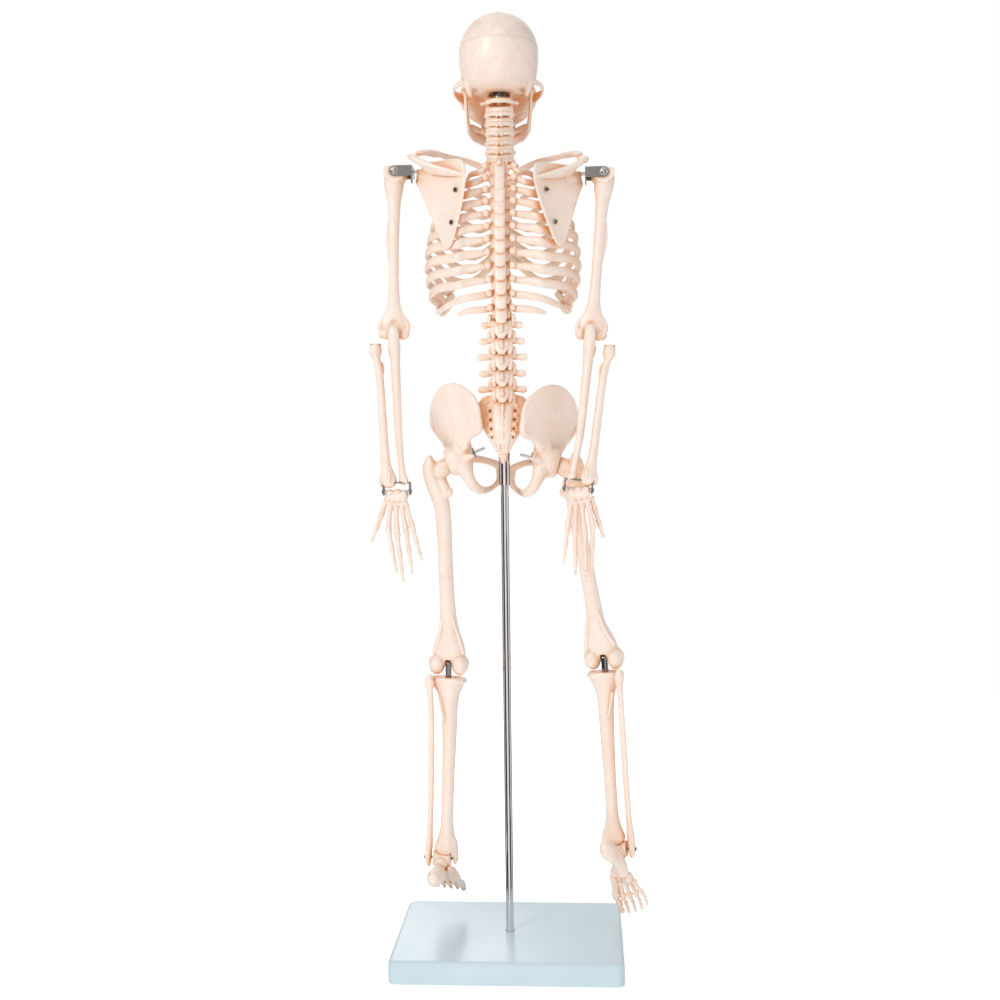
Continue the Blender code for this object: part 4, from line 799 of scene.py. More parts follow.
def build_cervical():
    y, z = CERVICAL[0]
    bm = bmesh.new()
    for side in (1, -1):
        flank = side_chart(side)
        limb(bm, flank, [(0, y - 7.6, z + 0.4, (2.6, 1.7)), (5, y - 6.6, z + 0.2, (2.4, 1.7)),
                         (9.2, y - 2.6, z, (2.7, 2.6)), (10.4, y + 2, z, (2.7, 2.9)),
                         (8.6, y + 7, z, (2.4, 1.9)),
                         (4.6, y + 10.4, z, (2.3, 1.5)), (0, y + 11.4, z - 0.2, (2.5, 1.7))], 16,
             across=(0, 0, 1))
        limb(bm, flank, [(9.5, y + 1, z, (3.2, 2.0)), (13.4, y + 1.4, z - 0.3, (2.8, 1.5)),
                         (15.6, y + 1.6, z - 0.8, (2.0, 1.6))], 14, across=(0, 1, 0))
        ball(bm, flank, (9.3, y - 0.4, z), (3.8, 5.0, 2.7), 3)
    ball(bm, WORLD, (0, y + 11.6, z - 0.4), (2.2, 1.7, 1.6), 3)
    bone(melted("vertebra_c1", bm, 0.34, 3, 0.15), "torso", "cervical_spine")
    for index, (y, z) in enumerate(CERVICAL[1:], start=2):
        bm = bmesh.new()
        wide = 6.2 + 0.24 * index
        centrum(bm, y, z, wide, 6.0)
        if index == 2:
            limb(bm, WORLD, [(0, y - 0.5, z + 2, (3.6, 3.2)), (0, y - 1.2, z + 6, (2.7, 2.4)),
                             (0, y - 1.4, z + 9.5, (2.3, 2.1))], 18)
        reach = 12.6 + 0.55 * index + (4.2 if index == 7 else 0)
        for side in (1, -1):
            flank = side_chart(side)
            limb(bm, flank, [(9.3, y + 4.2, z + 4.0, (2.8, 2.3)), (9.7, y + 5.2, z, (2.9, 2.5)),
                             (9.5, y + 6.4, z - 4.0, (2.8, 2.1))], 14)
            limb(bm, flank, [(10.0, y + 5.8, z + 0.8, (3.7, 1.8)), (6.6, y + 9.2, z + 0.3, (3.6, 1.6)),
                             (2.6, y + 11.2, z - 0.1, (3.6, 1.6)), (0, y + 11.6, z - 0.2, (3.4, 1.6))],
                 14, across=(0, 0, 1))
            limb(bm, flank, [(10.2, y + 7.4, z - 2.2, (1.9, 1.5)), (6.8, y + 10.8, z - 2.6, (1.9, 1.4)),
                             (2.4, y + 12.8, z - 3.2, (1.9, 1.5)), (0, y + 13.2, z - 3.4, (1.8, 1.5))],
                 14, across=(0, 0, 1))
            limb(bm, flank, [(5.6, y - 1.2, z - 0.2, (1.7, 1.5)), (9.0, y - 0.4, z - 0.8, (1.9, 1.5)),
                             (12.2, y + 1.0, z - 1.6, (1.8, 1.7))], 12)
            limb(bm, flank, [(9.8, y + 4.6, z - 0.6, 1.5), (12.0, y + 2.2, z - 1.4, 1.5)], 10)
            tip = (2.0, y + reach, z - 4.8, 1.35) if index < 7 else (0.4, y + reach, z - 5.6, 1.8)
            limb(bm, flank, [(0.8, y + 11.2, z - 1.2, (1.5, 1.8)),
                             (1.0, y + (11.2 + reach) / 2, z - 2.9, (1.3, 1.7)),
                             tip], 12)
        bone(melted(f"vertebra_c{index}", bm, 0.34, 3, 0.15), "torso")
    for index in range(1, 6):
        (y0, z0), (y1, z1) = CERVICAL[index], CERVICAL[index + 1]
        disc(f"disc_c{index + 1}", y0, z0 - 2.6, y1, z1 + 2.6, 5.9 + 0.2 * index)


def build_thoracic():
    for index, (y, z) in enumerate(THORACIC):
        bm = bmesh.new()
        step = 10.0 + 0.23 * index
        wide = 7.2 + 0.2 * index
        centrum(bm, y, z, wide, step - 2.6)
        blade = 5.4 - 0.4 * (index < 2)
        limb(bm, WORLD, [(0, y + 12.4, z + 6.2, (blade * 0.8, 1.5)), (0, y + 13.6, z + 2.4, (blade, 1.9)),
                         (0, y + 15.0, z - 2.4, (blade, 2.0)),
                         (0, y + 16.4, z - step + 3.4, (blade * 0.92, 1.9)),
                         (0, y + 17.0, z - step + 1.4, (blade * 0.76, 1.5))], 24, 5)
        for side in (1, -1):
            flank = side_chart(side)
            tip = tip_width(index)
            limb(bm, flank, [(4.8, y + 4.5, z + 1.8, (2.2, 2.6)), (5.6, y + 8, z + 1.8, (2.4, 2.4))], 12,
                 across=(1, 0, 0))
            limb(bm, flank, [(4.5, y + 8.6, z + 1.4, (2.8, 2.2)), (tip * 0.66, y + 10.4, z + 1.8, (2.3, 1.9)),
                             (tip - 2.4, y + 12.0, z + 2.1, (3.5, 2.7)),
                             (tip - 1.0, y + 12.4, z + 2.0, (3.2, 2.6))],
                 16, across=(0, 0, 1))
            limb(bm, flank, [(4.6, y + 8.6, z + 5.6, (2.4, 1.6)), (5.4, y + 10, z + 1, (3.2, 2)),
                             (4.8, y + 11.6, z - step + 6.4, (2.9, 1.6))], 12)
        bone(melted(f"vertebra_t{index + 1}", bm, 0.38, 3, 0.2), "torso",
             *(["thoracic_spine"] if index == 0 else []))
        above = CERVICAL[-1] if index == 0 else THORACIC[index - 1]
        tall = 3.0 if index == 0 else (10.0 + 0.23 * (index - 1) - 2.6) / 2
        disc(f"disc_t{index + 1}", above[0], above[1] - tall, y, z + (step - 2.6) / 2, wide * 0.95)


def build_lumbar():
    for index, (y, z) in enumerate(LUMBAR):
        bm = bmesh.new()
        wide = 10.0 + 0.35 * index
        centrum(bm, y, z, wide, 11.0)
        span = (18.6, 20.2, 22.4, 20.8, 21.6)[index]
        limb(bm, WORLD, [(0, y + 13, z + 3.0, (2.4, 2.4)), (0, y + 16, z + 0.2, (1.8, 3.8)),
                         (0, y + 18.4, z - 2.0, (1.8, 3.8)), (0, y + 19.2, z - 3.2, (1.6, 3.0))], 20,
             across=(1, 0, 0))
        limb(bm, WORLD, [(0, y + 13.4, z + 4.6, (5.6, 1.7)), (0, y + 15.2, z - 0.5, (6.4, 2.1)),
                         (0, y + 16.4, z - 5.2, (5.6, 2.0)), (0, y + 17.2, z - 8.6, (3.4, 1.7))], 26, 5)
        for side in (1, -1):
            flank = side_chart(side)
            limb(bm, flank, [(6, y + 5, z + 2.2, (2.2, 3.2)), (7.2, y + 10, z + 2.0, (2.6, 3.0))], 14,
                 across=(1, 0, 0))
            limb(bm, flank, [(8.2, y + 10.4, z + 3.4, (3.6, 2.2)), (4.6, y + 13.0, z + 0.2, (4.6, 1.9)),
                             (0.8, y + 14.2, z - 0.4, (4.8, 2.0))], 18, across=(0, 0, 1))
            limb(bm, flank, [(10.0, y + 9.4, z + 3.0, (2.4, 2.9)), (10.6, y + 10.6, z + 7.2, (2.3, 3.1)),
                             (10.2, y + 11.6, z + 9.8, (1.9, 2.7))], 14)
            limb(bm, flank, [(6.6, y + 12.6, z - 0.6, (3.4, 2.2)), (7.0, y + 13.4, z - 5.2, (2.9, 2.4)),
                             (6.8, y + 13.6, z - 8.0, (2.4, 2.2))], 14)
            limb(bm, flank, [(7, y + 7.4, z + 2.4, (2.9, 2.2)), (13, y + 8.2, z + 2.2, (2.7, 1.7)),
                             (span - 4, y + 8.8, z + 2.0, (3.3, 1.5)),
                             (span - 1.3, y + 9.0, z + 2.0, (2.9, 1.4))],
                 16, across=(0, 0, 1))
        made = melted(f"vertebra_l{index + 1}", bm, 0.42, 3, 0.25)
        if z < 520:
            carve(made, lambda m: drum(m, WORLD, (0, 0, 480), (0, 0, 513.6), 3.65, 32))
        bone(made, "torso", *(["lumbar_spine"] if index == 0 else []))
        above = THORACIC[-1] if index == 0 else LUMBAR[index - 1]
        disc(f"disc_l{index + 1}", above[0], above[1] - (4.9 if index == 0 else 5.4), y, z + 5.4, wide * 0.97)


SACRUM_ROWS = [(0, 5, 504.5, (22, 8)), (0, 8, 497, (23.6, 8.4)), (0, 13, 487, (21, 6.8)),
               (0, 17, 477, (15.4, 5.8)),
               (0, 19, 468.5, (10.6, 4.6)), (0, 18.6, 463, (7.6, 3.4))]


def build_sacrum():
    bm = bmesh.new()
    limb(bm, WORLD, SACRUM_ROWS, 40)
    limb(bm, WORLD, [(0, 3.6, 506.8, (11.5, 8.4)), (0, 5, 500, (12, 8.4))], 30)
    limb(bm, WORLD, [(0, 12.5, 505.5, (9.5, 3.0)), (0, 15.5, 497, (10.2, 3.4)), (0, 19, 487, (9.4, 3.4)),
                     (0, 22, 477, (7.8, 2.8)), (0, 22.4, 468.5, (5.6, 2.2))], 30)
    for level in range(4):
        z = 499.0 - 7.9 * level
        limb(bm, WORLD, [(0, 17.6 + 1.7 * level, z + 3.2, (1.6, 1.6)), (0, 19.4 + 1.6 * level, z, (1.9, 2.0)),
                         (0, 20.0 + 1.5 * level, z - 3.2, (1.4, 1.4))], 14)
    for side in (1, -1):
        flank = side_chart(side)
        limb(bm, flank, [(9.4, 12.4, 499, (3.2, 2.6)), (9.6, 13.6, 505, (2.8, 2.2)),
                         (9.4, 14.4, 509.5, (2.2, 1.8))], 14)
        limb(bm, flank, [(4.6, 22.8, 471, 1.5), (3.6, 22.8, 465, 1.5), (3.0, 21.4, 461, 1.2)], 12)
        for level, (y, z) in enumerate(((14.4, 500.4), (17.2, 492.4), (20.2, 484.4), (22.2, 476.4))):
            ball(bm, flank, (12.4 - 0.9 * level, y - 1.0, z), (2.8, 2.0, 2.0), 3)
    sacrum = melted("sacrum_bone", bm, 0.42, 3, 0.3)

    def foramen(side, x, y, z, r):
        flank = side_chart(side)
        return lambda m: ball(m, flank, (x, y - 0.6, z), (r * 1.05, 2.8, r * 1.0), 4)
    for side in (1, -1):
        for level, (y, z) in enumerate(((17, 496.4), (19.4, 488.6), (21.8, 480.6), (23.2, 473.2))):
            carve(sacrum, foramen(side, 11.2 - 0.6 * level, y - 1.0, z, 1.5 - 0.08 * level))
    carve(sacrum, lambda m: limb(m, WORLD, [(0, 26, 466, (1.0, 1.2)), (0, 23.8, 462.4, (1.4, 1.4)),
                                            (0, 23, 457, (1.4, 1.4))], 14),
          lambda m: limb(m, WORLD, [(0, 12.4, 509, (3.4, 2.6)), (0, 14.4, 502, (3.2, 2.4)),
                                    (0, 16, 496, (2.0, 1.6))], 18),
          lambda m: drum(m, WORLD, (0, 0, 430), (0, 0, 530), 5.4, 48))
    remeshed(sacrum, 0.4, 4)
    carve(sacrum, lambda m: drum(m, WORLD, (0, 0, 430), (0, 0, 530), 5.15, 48))
    bone(sacrum, "torso", "sacrum")
    bm = bmesh.new()
    for number, (y, z, wide, deep, tall) in enumerate(((17.6, 460.6, 6.4, 3.0, 2.1),
                                                       (16.2, 457.0, 4.2, 2.6, 1.9),
                                                       (14.6, 454.0, 3.0, 2.3, 1.7),
                                                       (13.2, 451.6, 2.2, 1.9, 1.6))):
        ball(bm, WORLD, (0, y, z), (wide, deep, tall + 0.5), 3)
        if number == 0:
            for side in (1, -1):
                limb(bm, side_chart(side), [(3.4, y + 1, z, 1.2), (3.0, y + 2.6, z + 2.6, 0.9)], 10)
    coccyx = melted("coccyx_bone", bm, 0.3, 2, 0.1)
    bone(coccyx, "torso")
    disc_l5 = LUMBAR[-1]
    disc("disc_s1", disc_l5[0], disc_l5[1] - 5.3, 4.6, 506.4, 10.8)


# ---------------------------------------------------------------- rib cage

RIB_WIDTH = [31, 43, 52, 59, 64, 67, 69, 69.5, 68.5, 66]
RIB_SIDE_Z = [700, 690, 680, 670, 660, 649, 637, 625, 612.5, 599.5]
RIB_FRONT_X = [17, 26, 32, 38, 43, 47, 51, 54, 57, 59]
RIB_FRONT_Y = [-38, -43, -47, -50, -50, -47, -42, -36, -31, -27]
RIB_FRONT_Z = [692, 679, 668, 656, 645, 632, 619, 607, 597, 588]
RIB_TALL = [2.6, 3.1, 3.5, 3.8, 3.9, 4.0, 4.1, 4.1, 4.1, 3.9]
STERNUM_Z = [690, 682, 673, 664, 655, 647, 640]


def sternum_y(z):
    return -44.0 - 14.0 * (692.0 - z) / 62.0


def rib_rows(index):
    y, z = THORACIC[index]
    width = RIB_WIDTH[index]
    tip = tip_width(index)
    tall = RIB_TALL[index]
    back = y + 13.2
    return [(7.6, y + 4.6, z + 4.2, (2.2, 1.7)), (tip * 0.72, y + 7.2, z + 2.6, (1.7, 1.4)),
            (tip + 0.4, y + 9.8, z + 1.6, (2.7, 2.0)),
            (width * 0.42, back - 0.8, z - 0.4, (tall * 0.92, 1.7)),
            (width * 0.58, back, z - 2.8, (tall, 1.75)),
            (width * 0.87, 8.0, (z + RIB_SIDE_Z[index]) / 2 + 1, (tall, 1.6)),
            (width, -10.0, RIB_SIDE_Z[index] + 1, (tall, 1.5)),
            (width * 0.92, -27.0, RIB_SIDE_Z[index] - 4, (tall * 0.95, 1.5)),
            (RIB_FRONT_X[index], RIB_FRONT_Y[index], RIB_FRONT_Z[index], (tall * 0.98, 1.8))]


def rib_skin(name, bm):
    """A thin rib keeps its section: made a little uneven, not melted."""
    made = thing_from(bm, name)
    wave = made.modifiers.new("wave", "DISPLACE")
    wave.texture = UNEVEN
    wave.texture_coords = "GLOBAL"
    wave.strength = 0.4 * MM
    wave.mid_level = 0.5
    return settle(made)


def build_ribs():
    for side, name in SIDES.items():
        flank = side_chart(side)
        for index in range(10):
            bm = bmesh.new()
            limb(bm, flank, rib_rows(index), 24, 9, across=(0, 0, 1))
            nodes = ["rib_cage"] if index == 0 and side == 1 else []
            bone(rib_skin(f"rib_{index + 1}_{name}_bone", bm), "torso", *nodes)
        for index, rows in ((10, [(0, 0, 0, 1), (20, 3.6, -3.4, 1), (36, -7.4, -8.4, 0.95),
                                  (47, -20.5, -13.0, 0.55)]),
                            (11, [(0, 0, 0, 1), (15, 3.6, -1.4, 1), (26.5, -0.4, -4.2, 0.62)])):
            y, z = THORACIC[index]
            start = tip_width(index) + 0.6
            tall = 3.2 if index == 10 else 3.0
            path = [(8.4, y + 4.6, z + 3.2, (1.9, 1.6))]
            path += [(start + dx, y + 9.6 + dy, z + 1.0 + dz, (tall * keep, 1.6 * keep)) for dx, dy, dz,
                     keep in rows]
            bm = bmesh.new()
            limb(bm, flank, path, 24, 8, across=(0, 0, 1))
            bone(rib_skin(f"rib_{index + 1}_{name}_bone", bm), "torso", f"rib_{index + 1}_{name}")
        for index in range(10):
            start = (RIB_FRONT_X[index], RIB_FRONT_Y[index], RIB_FRONT_Z[index])
            tall = RIB_TALL[index]
            if index < 7:
                z = STERNUM_Z[index]
                end = (5.2, sternum_y(z), z)
                sag = 2.0 + 1.6 * index
                mid = ((start[0] + end[0]) / 2 + 3, (start[1] + end[1]) / 2 - 3,
                       (start[2] + end[2]) / 2 - sag)
            else:
                end = (RIB_FRONT_X[index - 1] - 6, RIB_FRONT_Y[index - 1] - 1.5, RIB_FRONT_Z[index - 1] - 3.0)
                mid = ((start[0] + end[0]) / 2 + 1, (start[1] + end[1]) / 2 - 1,
                       (start[2] + end[2]) / 2 - 2.5)
            bm = bmesh.new()
            limb(bm, flank, [(*start, (tall * 0.98, 1.9)), (*mid, (tall * 0.82, 1.8)),
                             (*end, (tall * 0.7, 1.7))],
                 24, 9, across=(0, 0, 1))
            piece(rib_skin(f"costal_cartilage_{index + 1}_{name}", bm), "torso", "cartilage_plastic",
                  CARTILAGE)
    bm = bmesh.new()
    rows = [(711, 8.4, 2.8), (704, 12.0, 3.4), (695, 11.6, 3.2), (684, 10.8, 2.8), (677.5, 7.0, 2.5),
            (673, 6.2, 2.5),
            (664, 6.2, 2.3), (654, 7.2, 2.3), (646, 7.8, 2.3), (639, 7.0, 2.3), (634.5, 3.8, 2.0),
            (628, 2.8, 1.6),
            (622.5, 2.0, 1.3)]
    limb(bm, WORLD, [(0, sternum_y(z), z, (w, d)) for z, w, d in rows], 32, 4)
    for z, w in ((676.4, 6.8), (664, 6.6), (655, 7.2), (647, 7.6)):
        limb(bm, WORLD, [(-w * 0.9, sternum_y(z) - 1.6, z, 1.2), (w * 0.9, sternum_y(z) - 1.6, z, 1.2)], 12,
             across=(0, 0, 1))
    for side in (1, -1):
        ball(bm, side_chart(side), (9.8, -40.4, 708.0), (3.8, 3.4, 3.8), 3)
    sternum = melted("sternum_bone", bm, 0.45, 3, 0.3)
    carve(sternum, lambda m: ball(m, WORLD, (0, -40.0, 715.0), (5.2, 8, 4.2)))
    bone(sternum, "torso")


# ---------------------------------------------------------------- pelvis

def shifted_chart(side, joint, home):
    """The trunk's chart moved so that a joint drawn at home lands on its real place."""
    return Chart(Vector(joint) - Vector((side * home[0], home[1], home[2])), x=(side, 0, 0))


HIP_HOME = (43.5, 0.0, 453.0)


def bolt_chart(side):
    rise = math.radians(HIP_BOLT_RISE[side])
    inward = Vector((-side * math.cos(rise), 0, math.sin(rise)))
    return Chart(HIP[side], x=inward, y=(0, 1, 0), z=Vector((side * math.sin(rise), 0, math.cos(rise))))


def build_hip_bone(side):
    flank = shifted_chart(side, HIP[side], HIP_HOME)
    name = SIDES[side]
    bm = bmesh.new()
    # iliac wing: rows from the root above the socket out to the crest, back to front
    wing = [
        [(22.5, 22, 478, 3.2), (21, 24.5, 484, 3.4), (20.4, 26.4, 492, 3.2), (21.4, 26, 500, 2.6),
         (24, 24, 508, 2.2)],
        [(30, 15, 471, 4.6), (29.5, 16.5, 481, 3.2), (30, 18, 493, 2.4), (31, 19, 504, 2.0),
         (33, 18.5, 514.5, 2.2)],
        [(38.5, 8, 463, 5.4), (40, 8, 479, 2.6), (41.5, 9, 494, 1.8), (42, 10, 508, 1.7),
         (43, 9.5, 520, 2.2)],
        [(44, -1, 462, 5.4), (48.5, -1.5, 476, 2.8), (52, -1.5, 490, 1.9), (53.5, -2, 504, 1.8),
         (54.5, -2.5, 518, 2.2)],
        [(47, -9, 463, 4.4), (53, -11, 473, 2.8), (58.5, -12, 484, 2.0), (61, -12.5, 496, 1.8),
         (62.6, -12.6, 509, 2.2)],
        [(47, -15, 462, 3.2), (54, -19, 468, 2.8), (60, -22, 475.5, 2.4), (64.6, -24, 483, 2.2),
         (66.6, -22.4, 494, 2.2)],
    ]
    sheet_of(bm, flank, wing, 6)
    crest = [(21, 26.4, 489, 2.6), (21.5, 26.2, 498, 2.6), (25.5, 23.6, 508, 2.4), (33.5, 18.2, 515.6, 2.2),
             (43.5, 9.4, 520.2, 2.2), (54.5, -2.6, 518.2, 2.3), (62.6, -12.6, 509.4, 2.4),
             (66.6, -20, 498, 2.4),
             (67.4, -25.6, 487.6, 2.6), (66.0, -28, 480.6, 2.5)]
    limb(bm, flank, crest, 16, 5)
    limb(bm, flank, [(65.6, -27.6, 481, 2.4), (61, -25.4, 474.6, 2.4), (56, -21.6, 469, 2.8),
                     (53.2, -18.4, 464.6, 3.2),
                     (49, -13, 462, 4)], 16)
    limb(bm, flank, [(20.4, 26.4, 489, 2.8), (20.2, 25.6, 481.6, 3.2), (22.4, 23.4, 478, 3.2),
                     (27.2, 18.8, 476, 3.2),
                     (31.8, 14.4, 472, 3.6), (35, 10, 465, 4.8)], 18)
    ball(bm, flank, (43.4, 0, 453.4), (14.2, 14.4, 14.4), 5)
    limb(bm, flank, [(37.8, 7.4, 471, (7.5, 4.2)), (37.6, 6.4, 465, (9.0, 6.4)), (38.0, 4.5, 457, (10.6, 9)),
                     (36.4, 6, 449, (9.2, 8)), (33.2, 9.4, 441, (6.2, 6)), (30.4, 10.4, 435, (5.0, 5.2)),
                     (27.0, 8.4, 429.4, (4.8, 4.8)), (22.4, 3.4, 425.8, (4.2, 4.2))], 30, 6)
    limb(bm, flank, [(38, -9, 454.5, 5.6), (30, -18, 453.5, 4.1), (21, -25.6, 452, 3.4), (12, -32, 449, 3.5),
                     (6.6, -35.6, 445, 4.2), (5.6, -36, 440, 4.6)], 20)
    limb(bm, flank, [(5.6, -35.6, 441, 4.3), (6.6, -32, 434, 3.2), (9.6, -26.6, 429.4, 2.8),
                     (14.4, -17.6, 426, 2.8),
                     (19.6, -7, 424.8, 3.4), (22.5, 0, 426, 4.2)], 18)
    limb(bm, flank, [(34, 11, 455, 4.2), (29.4, 14.6, 456.4, 2.6), (26.6, 17.2, 456.6, 1.5)], 14)
    hip = melted(f"hip_bone_{name}_shape", bm, 0.5, 10, 0.35)
    bolt = bolt_chart(side)
    carve(hip, lambda m: ball(m, flank, HIP_HOME, 11.5, 5),
          lambda m: drum(m, bolt, (-4, 0, 0), (-40, 0, 0), 11.5, 48))
    remeshed(hip, 0.48, 2)
    carve(hip, lambda m: ball(m, flank, HIP_HOME, 11.1, 5),
          lambda m: brick(m, bolt, (8, -2.1, -4.6), (20, 2.1, 4.6)),
          lambda m: drum(m, bolt, (16.2, 0, 0), (40, 0, 0), 7.6, 48),
          lambda m: limb(m, WORLD, [(x, y, z, (r[0] + 0.9, r[1] + 0.9)) for x, y, z, r in SACRUM_ROWS[:4]],
                         40),
          lambda m: brick(m, side_chart(side), (-20, -60, 400), (2.4, 0, 480)))
    drop_crumbs(hip)
    bone(hip, "torso", f"hip_bone_{name}")
    shade(hip, 60)

    body = f"hip_link_{name}"
    bm = bmesh.new()
    drum(bm, bolt, (3, 0, 0), (27.4, 0, 0), 1.3, 32)
    drum(bm, bolt, (27.4, 0, 0), (28.0, 0, 0), 1.3, 32, 0.9)
    piece(thing_from(bm, f"hip_bolt_thread_{name}"), body, "dark_steel", STEEL, f"hip_bolt_{name}", angle=40)
    bm = bmesh.new()
    drum(bm, bolt, (17.0, 0, 0), (18.1, 0, 0), 4.9, 48)
    piece(bevelled(thing_from(bm, f"hip_washer_{name}"), 0.15, 2), body, "dark_steel", DARK, angle=35)


def drop_crumbs(thing):
    """Keeps only the largest separate body of a mesh."""
    bm = bmesh.new()
    bm.from_mesh(thing.data)
    seen, bodies = set(), []
    for start in bm.verts:
        if start in seen:
            continue
        seen.add(start)
        stack, body = [start], []
        while stack:
            vert = stack.pop()
            body.append(vert)
            for edge in vert.link_edges:
                other = edge.other_vert(vert)
                if other not in seen:
                    seen.add(other)
                    stack.append(other)
        bodies.append(body)
    for body in sorted(bodies, key=len)[:-1]:
        bmesh.ops.delete(bm, geom=body, context="VERTS")
    bm.to_mesh(thing.data)
    bm.free()


def build_symphysis():
    bm = bmesh.new()
    limb(bm, WORLD, [(0, -35, 447, (2.5, 3.2)), (0, -35.8, 441, (2.5, 4.2)), (0, -33.6, 434.6, (2.5, 3.0))],
         24)
    made = thing_from(bm, "pubic_symphysis_disc")
    piece(made, "torso", "cartilage_plastic", CARTILAGE, "pubic_symphysis")


# ---------------------------------------------------------------- shoulder

def scapula_chart(side):
    yaw = math.radians(SCAPULA_YAW[side])
    sx, sy, sz = SHOULDER[side]
    inward = Vector((-side * math.cos(yaw), math.sin(yaw), 0))
    up = Vector((0, 0, SCAPULA_TALL[side])) + inward * SCAPULA_LEAN[side]
    return Chart((sx - side * (PLATE_X + 4.5), sy, sz - 2.5), inward,
                 (side * math.sin(yaw), math.cos(yaw), 0), up)


def screw(bm, place, spot, radius, out=(0, 1, 0), height=0.9):
    """A pan head screw, its crossed recess cut apart by boolean_slot where one is wanted; out is the way its
    head faces in the chart.
    """
    base = Vector(spot)
    way = Vector(out).normalized()
    for low, high, ra, rb in ((-0.4, 0.25, 1.0, 1.0), (0.25, 0.7, 1.0, 0.86), (0.7, 1.0, 0.86, 0.55)):
        drum(bm, place, base + way * (low * height), base + way * (high * height), radius * ra, 32,
             radius * rb)


def build_scapula(side):
    place = scapula_chart(side)
    name = SIDES[side]
    bm = bmesh.new()
    # blade rows from the socket edge to the midline edge, each from top to bottom
    blade = [
        [(3, 0, 4, 2.4), (3, 0, -3, 2.4), (5, 0, -12, 2.2), (9, 0, -22, 1.9)],
        [(10, -0.6, 7.5, 1.2), (11, 0, -5, 1.2), (13, 0, -22, 1.3), (17, 0, -40, 1.7)],
        [(20, -1.0, 8.4, 0.9), (22, -0.8, -10, 0.9), (23, -0.6, -34, 0.9), (24, 0, -56, 1.5)],
        [(33, -1.0, 7.6, 0.9), (34, -1.2, -14, 0.8), (32, -0.8, -42, 0.8), (29, 0, -66.4, 1.4)],
        [(44, -0.6, 7.2, 1.0), (44, -0.8, -14, 0.9), (40, -0.4, -42, 0.9), (34, 0.2, -68.6, 1.4)],
        [(50.6, 0, 5.6, 1.3), (52.6, 0.2, -10, 1.3), (47.4, 0.4, -38, 1.3), (38, 0.4, -65, 1.4)],
    ]
    sheet_of(bm, place, blade, 7, 0.8)
    limb(bm, place, [(1, 0, -7, 3.0), (6, 0, -18, 2.0), (13, 0, -33, 1.6), (21.4, 0, -51, 1.5),
                     (28, 0, -64, 1.6),
                     (32.6, 0.3, -68.0, 1.6), (37, 0.4, -65, 1.3), (42.6, 0.4, -52, 1.1), (49, 0.3, -32, 1.1),
                     (52.8, 0.2, -12, 1.2), (52.4, 0.1, 0, 1.2), (49.4, 0, 6.0, 1.2), (42, -0.4, 8.0, 1.0),
                     (30, -0.8, 8.8, 1.0), (18, -0.8, 8.8, 1.1), (9, -0.4, 8.4, 1.6)], 14, 5,
         across=(0, 1, 0))
    limb(bm, place, [(-1.2, -0.6, -1, (4.2, 6.2)), (2, -0.4, -1, (3.6, 5.6)), (8, 0, -2, (2.8, 5.0)),
                     (16, 0, -4, (1.4, 4.0))], 22, across=(0, 1, 0))
    # spine of the blade: a fin from the midline edge, rising to the acromion
    fin = [
        [(51, 0, -6, 1.2), (51, 1.4, -6, 1.2), (51, 2.0, -5.8, 1.4)],
        [(42, 0, -5.2, 2.4), (42, 1.4, -4.0, 2.2), (42, 2.6, -2.8, 1.8)],
        [(32, 0, -3.4, 2.8), (31, 2.6, -1.4, 2.4), (30.4, 4.6, 0.6, 2.0)],
        [(22, 0, -1.2, 3.0), (20.6, 3.6, 1.6, 2.6), (19.6, 6.6, 4.6, 2.2)],
        [(12.6, 0, 1.0, 3.2), (11.0, 5.0, 4.4, 2.6), (9.4, 9.0, 8.4, 2.4)],
    ]
    sheet_of(bm, place, fin, 6, 0.9)
    limb(bm, place, [(50, 0.8, -6.0, 1.4), (42, 2.4, -3.0, (1.8, 1.8)), (30.4, 4.6, 0.8, (2.2, 2.2)),
                     (19.6, 7.0, 4.8, (2.4, 2.6)), (9.4, 9.6, 9.6, (2.8, 3.4)), (2.4, 9.0, 13.6, (3.0, 4.4)),
                     (-2.0, 5.4, 16.4, (2.8, 4.6)), (-2.6, 0.6, 17.6, (2.5, 3.8))], 18, 6, across=(0, 0, 1))
    limb(bm, place, [(8, -1, 5, 3.0), (7.6, -6, 9, 2.8), (5, -11, 9.8, 2.3), (0.6, -14.2, 7.4, 1.9)], 16)
    scapula = melted(f"scapula_{name}_bone", bm, 0.42, 12, 0.25)
    sx, sy, sz = SHOULDER[side]
    edge = abs(sx) - PLATE_X - 1.4
    flank = side_chart(side)
    carve(scapula, lambda m: brick(m, flank, (edge, sy - 40, sz - 40), (edge + 40, sy + 40, sz + 8)),
          lambda m: ball(m, flank, (edge + 4.5, sy, sz), (7.0, 11.5, 12), 4))
    remeshed(scapula, 0.42, 2)
    drop_crumbs(scapula)
    bone(scapula, "torso", f"scapula_{name}")
    # two screws through each blade, and the fixing stubs behind them
    spots = ((43.0, -18.6), (38.0, -46.6)) if side == 1 else ((41.5, -16.4), (36.0, -46.2))
    bm = bmesh.new()
    for x, z in spots:
        screw(bm, place, (x, 1.4, z), 2.0, height=1.2)
        drum(bm, place, (x, 0.9, z), (x, -6.0, z), 1.0, 16)
    heads = thing_from(bm, f"scapula_screws_{name}")
    for x, z in spots:
        for turn in (1, -1):
            boolean_slot(heads, place, (x, 2.7, z), turn)
    piece(heads, "torso", "dark_steel", DARK, angle=35)


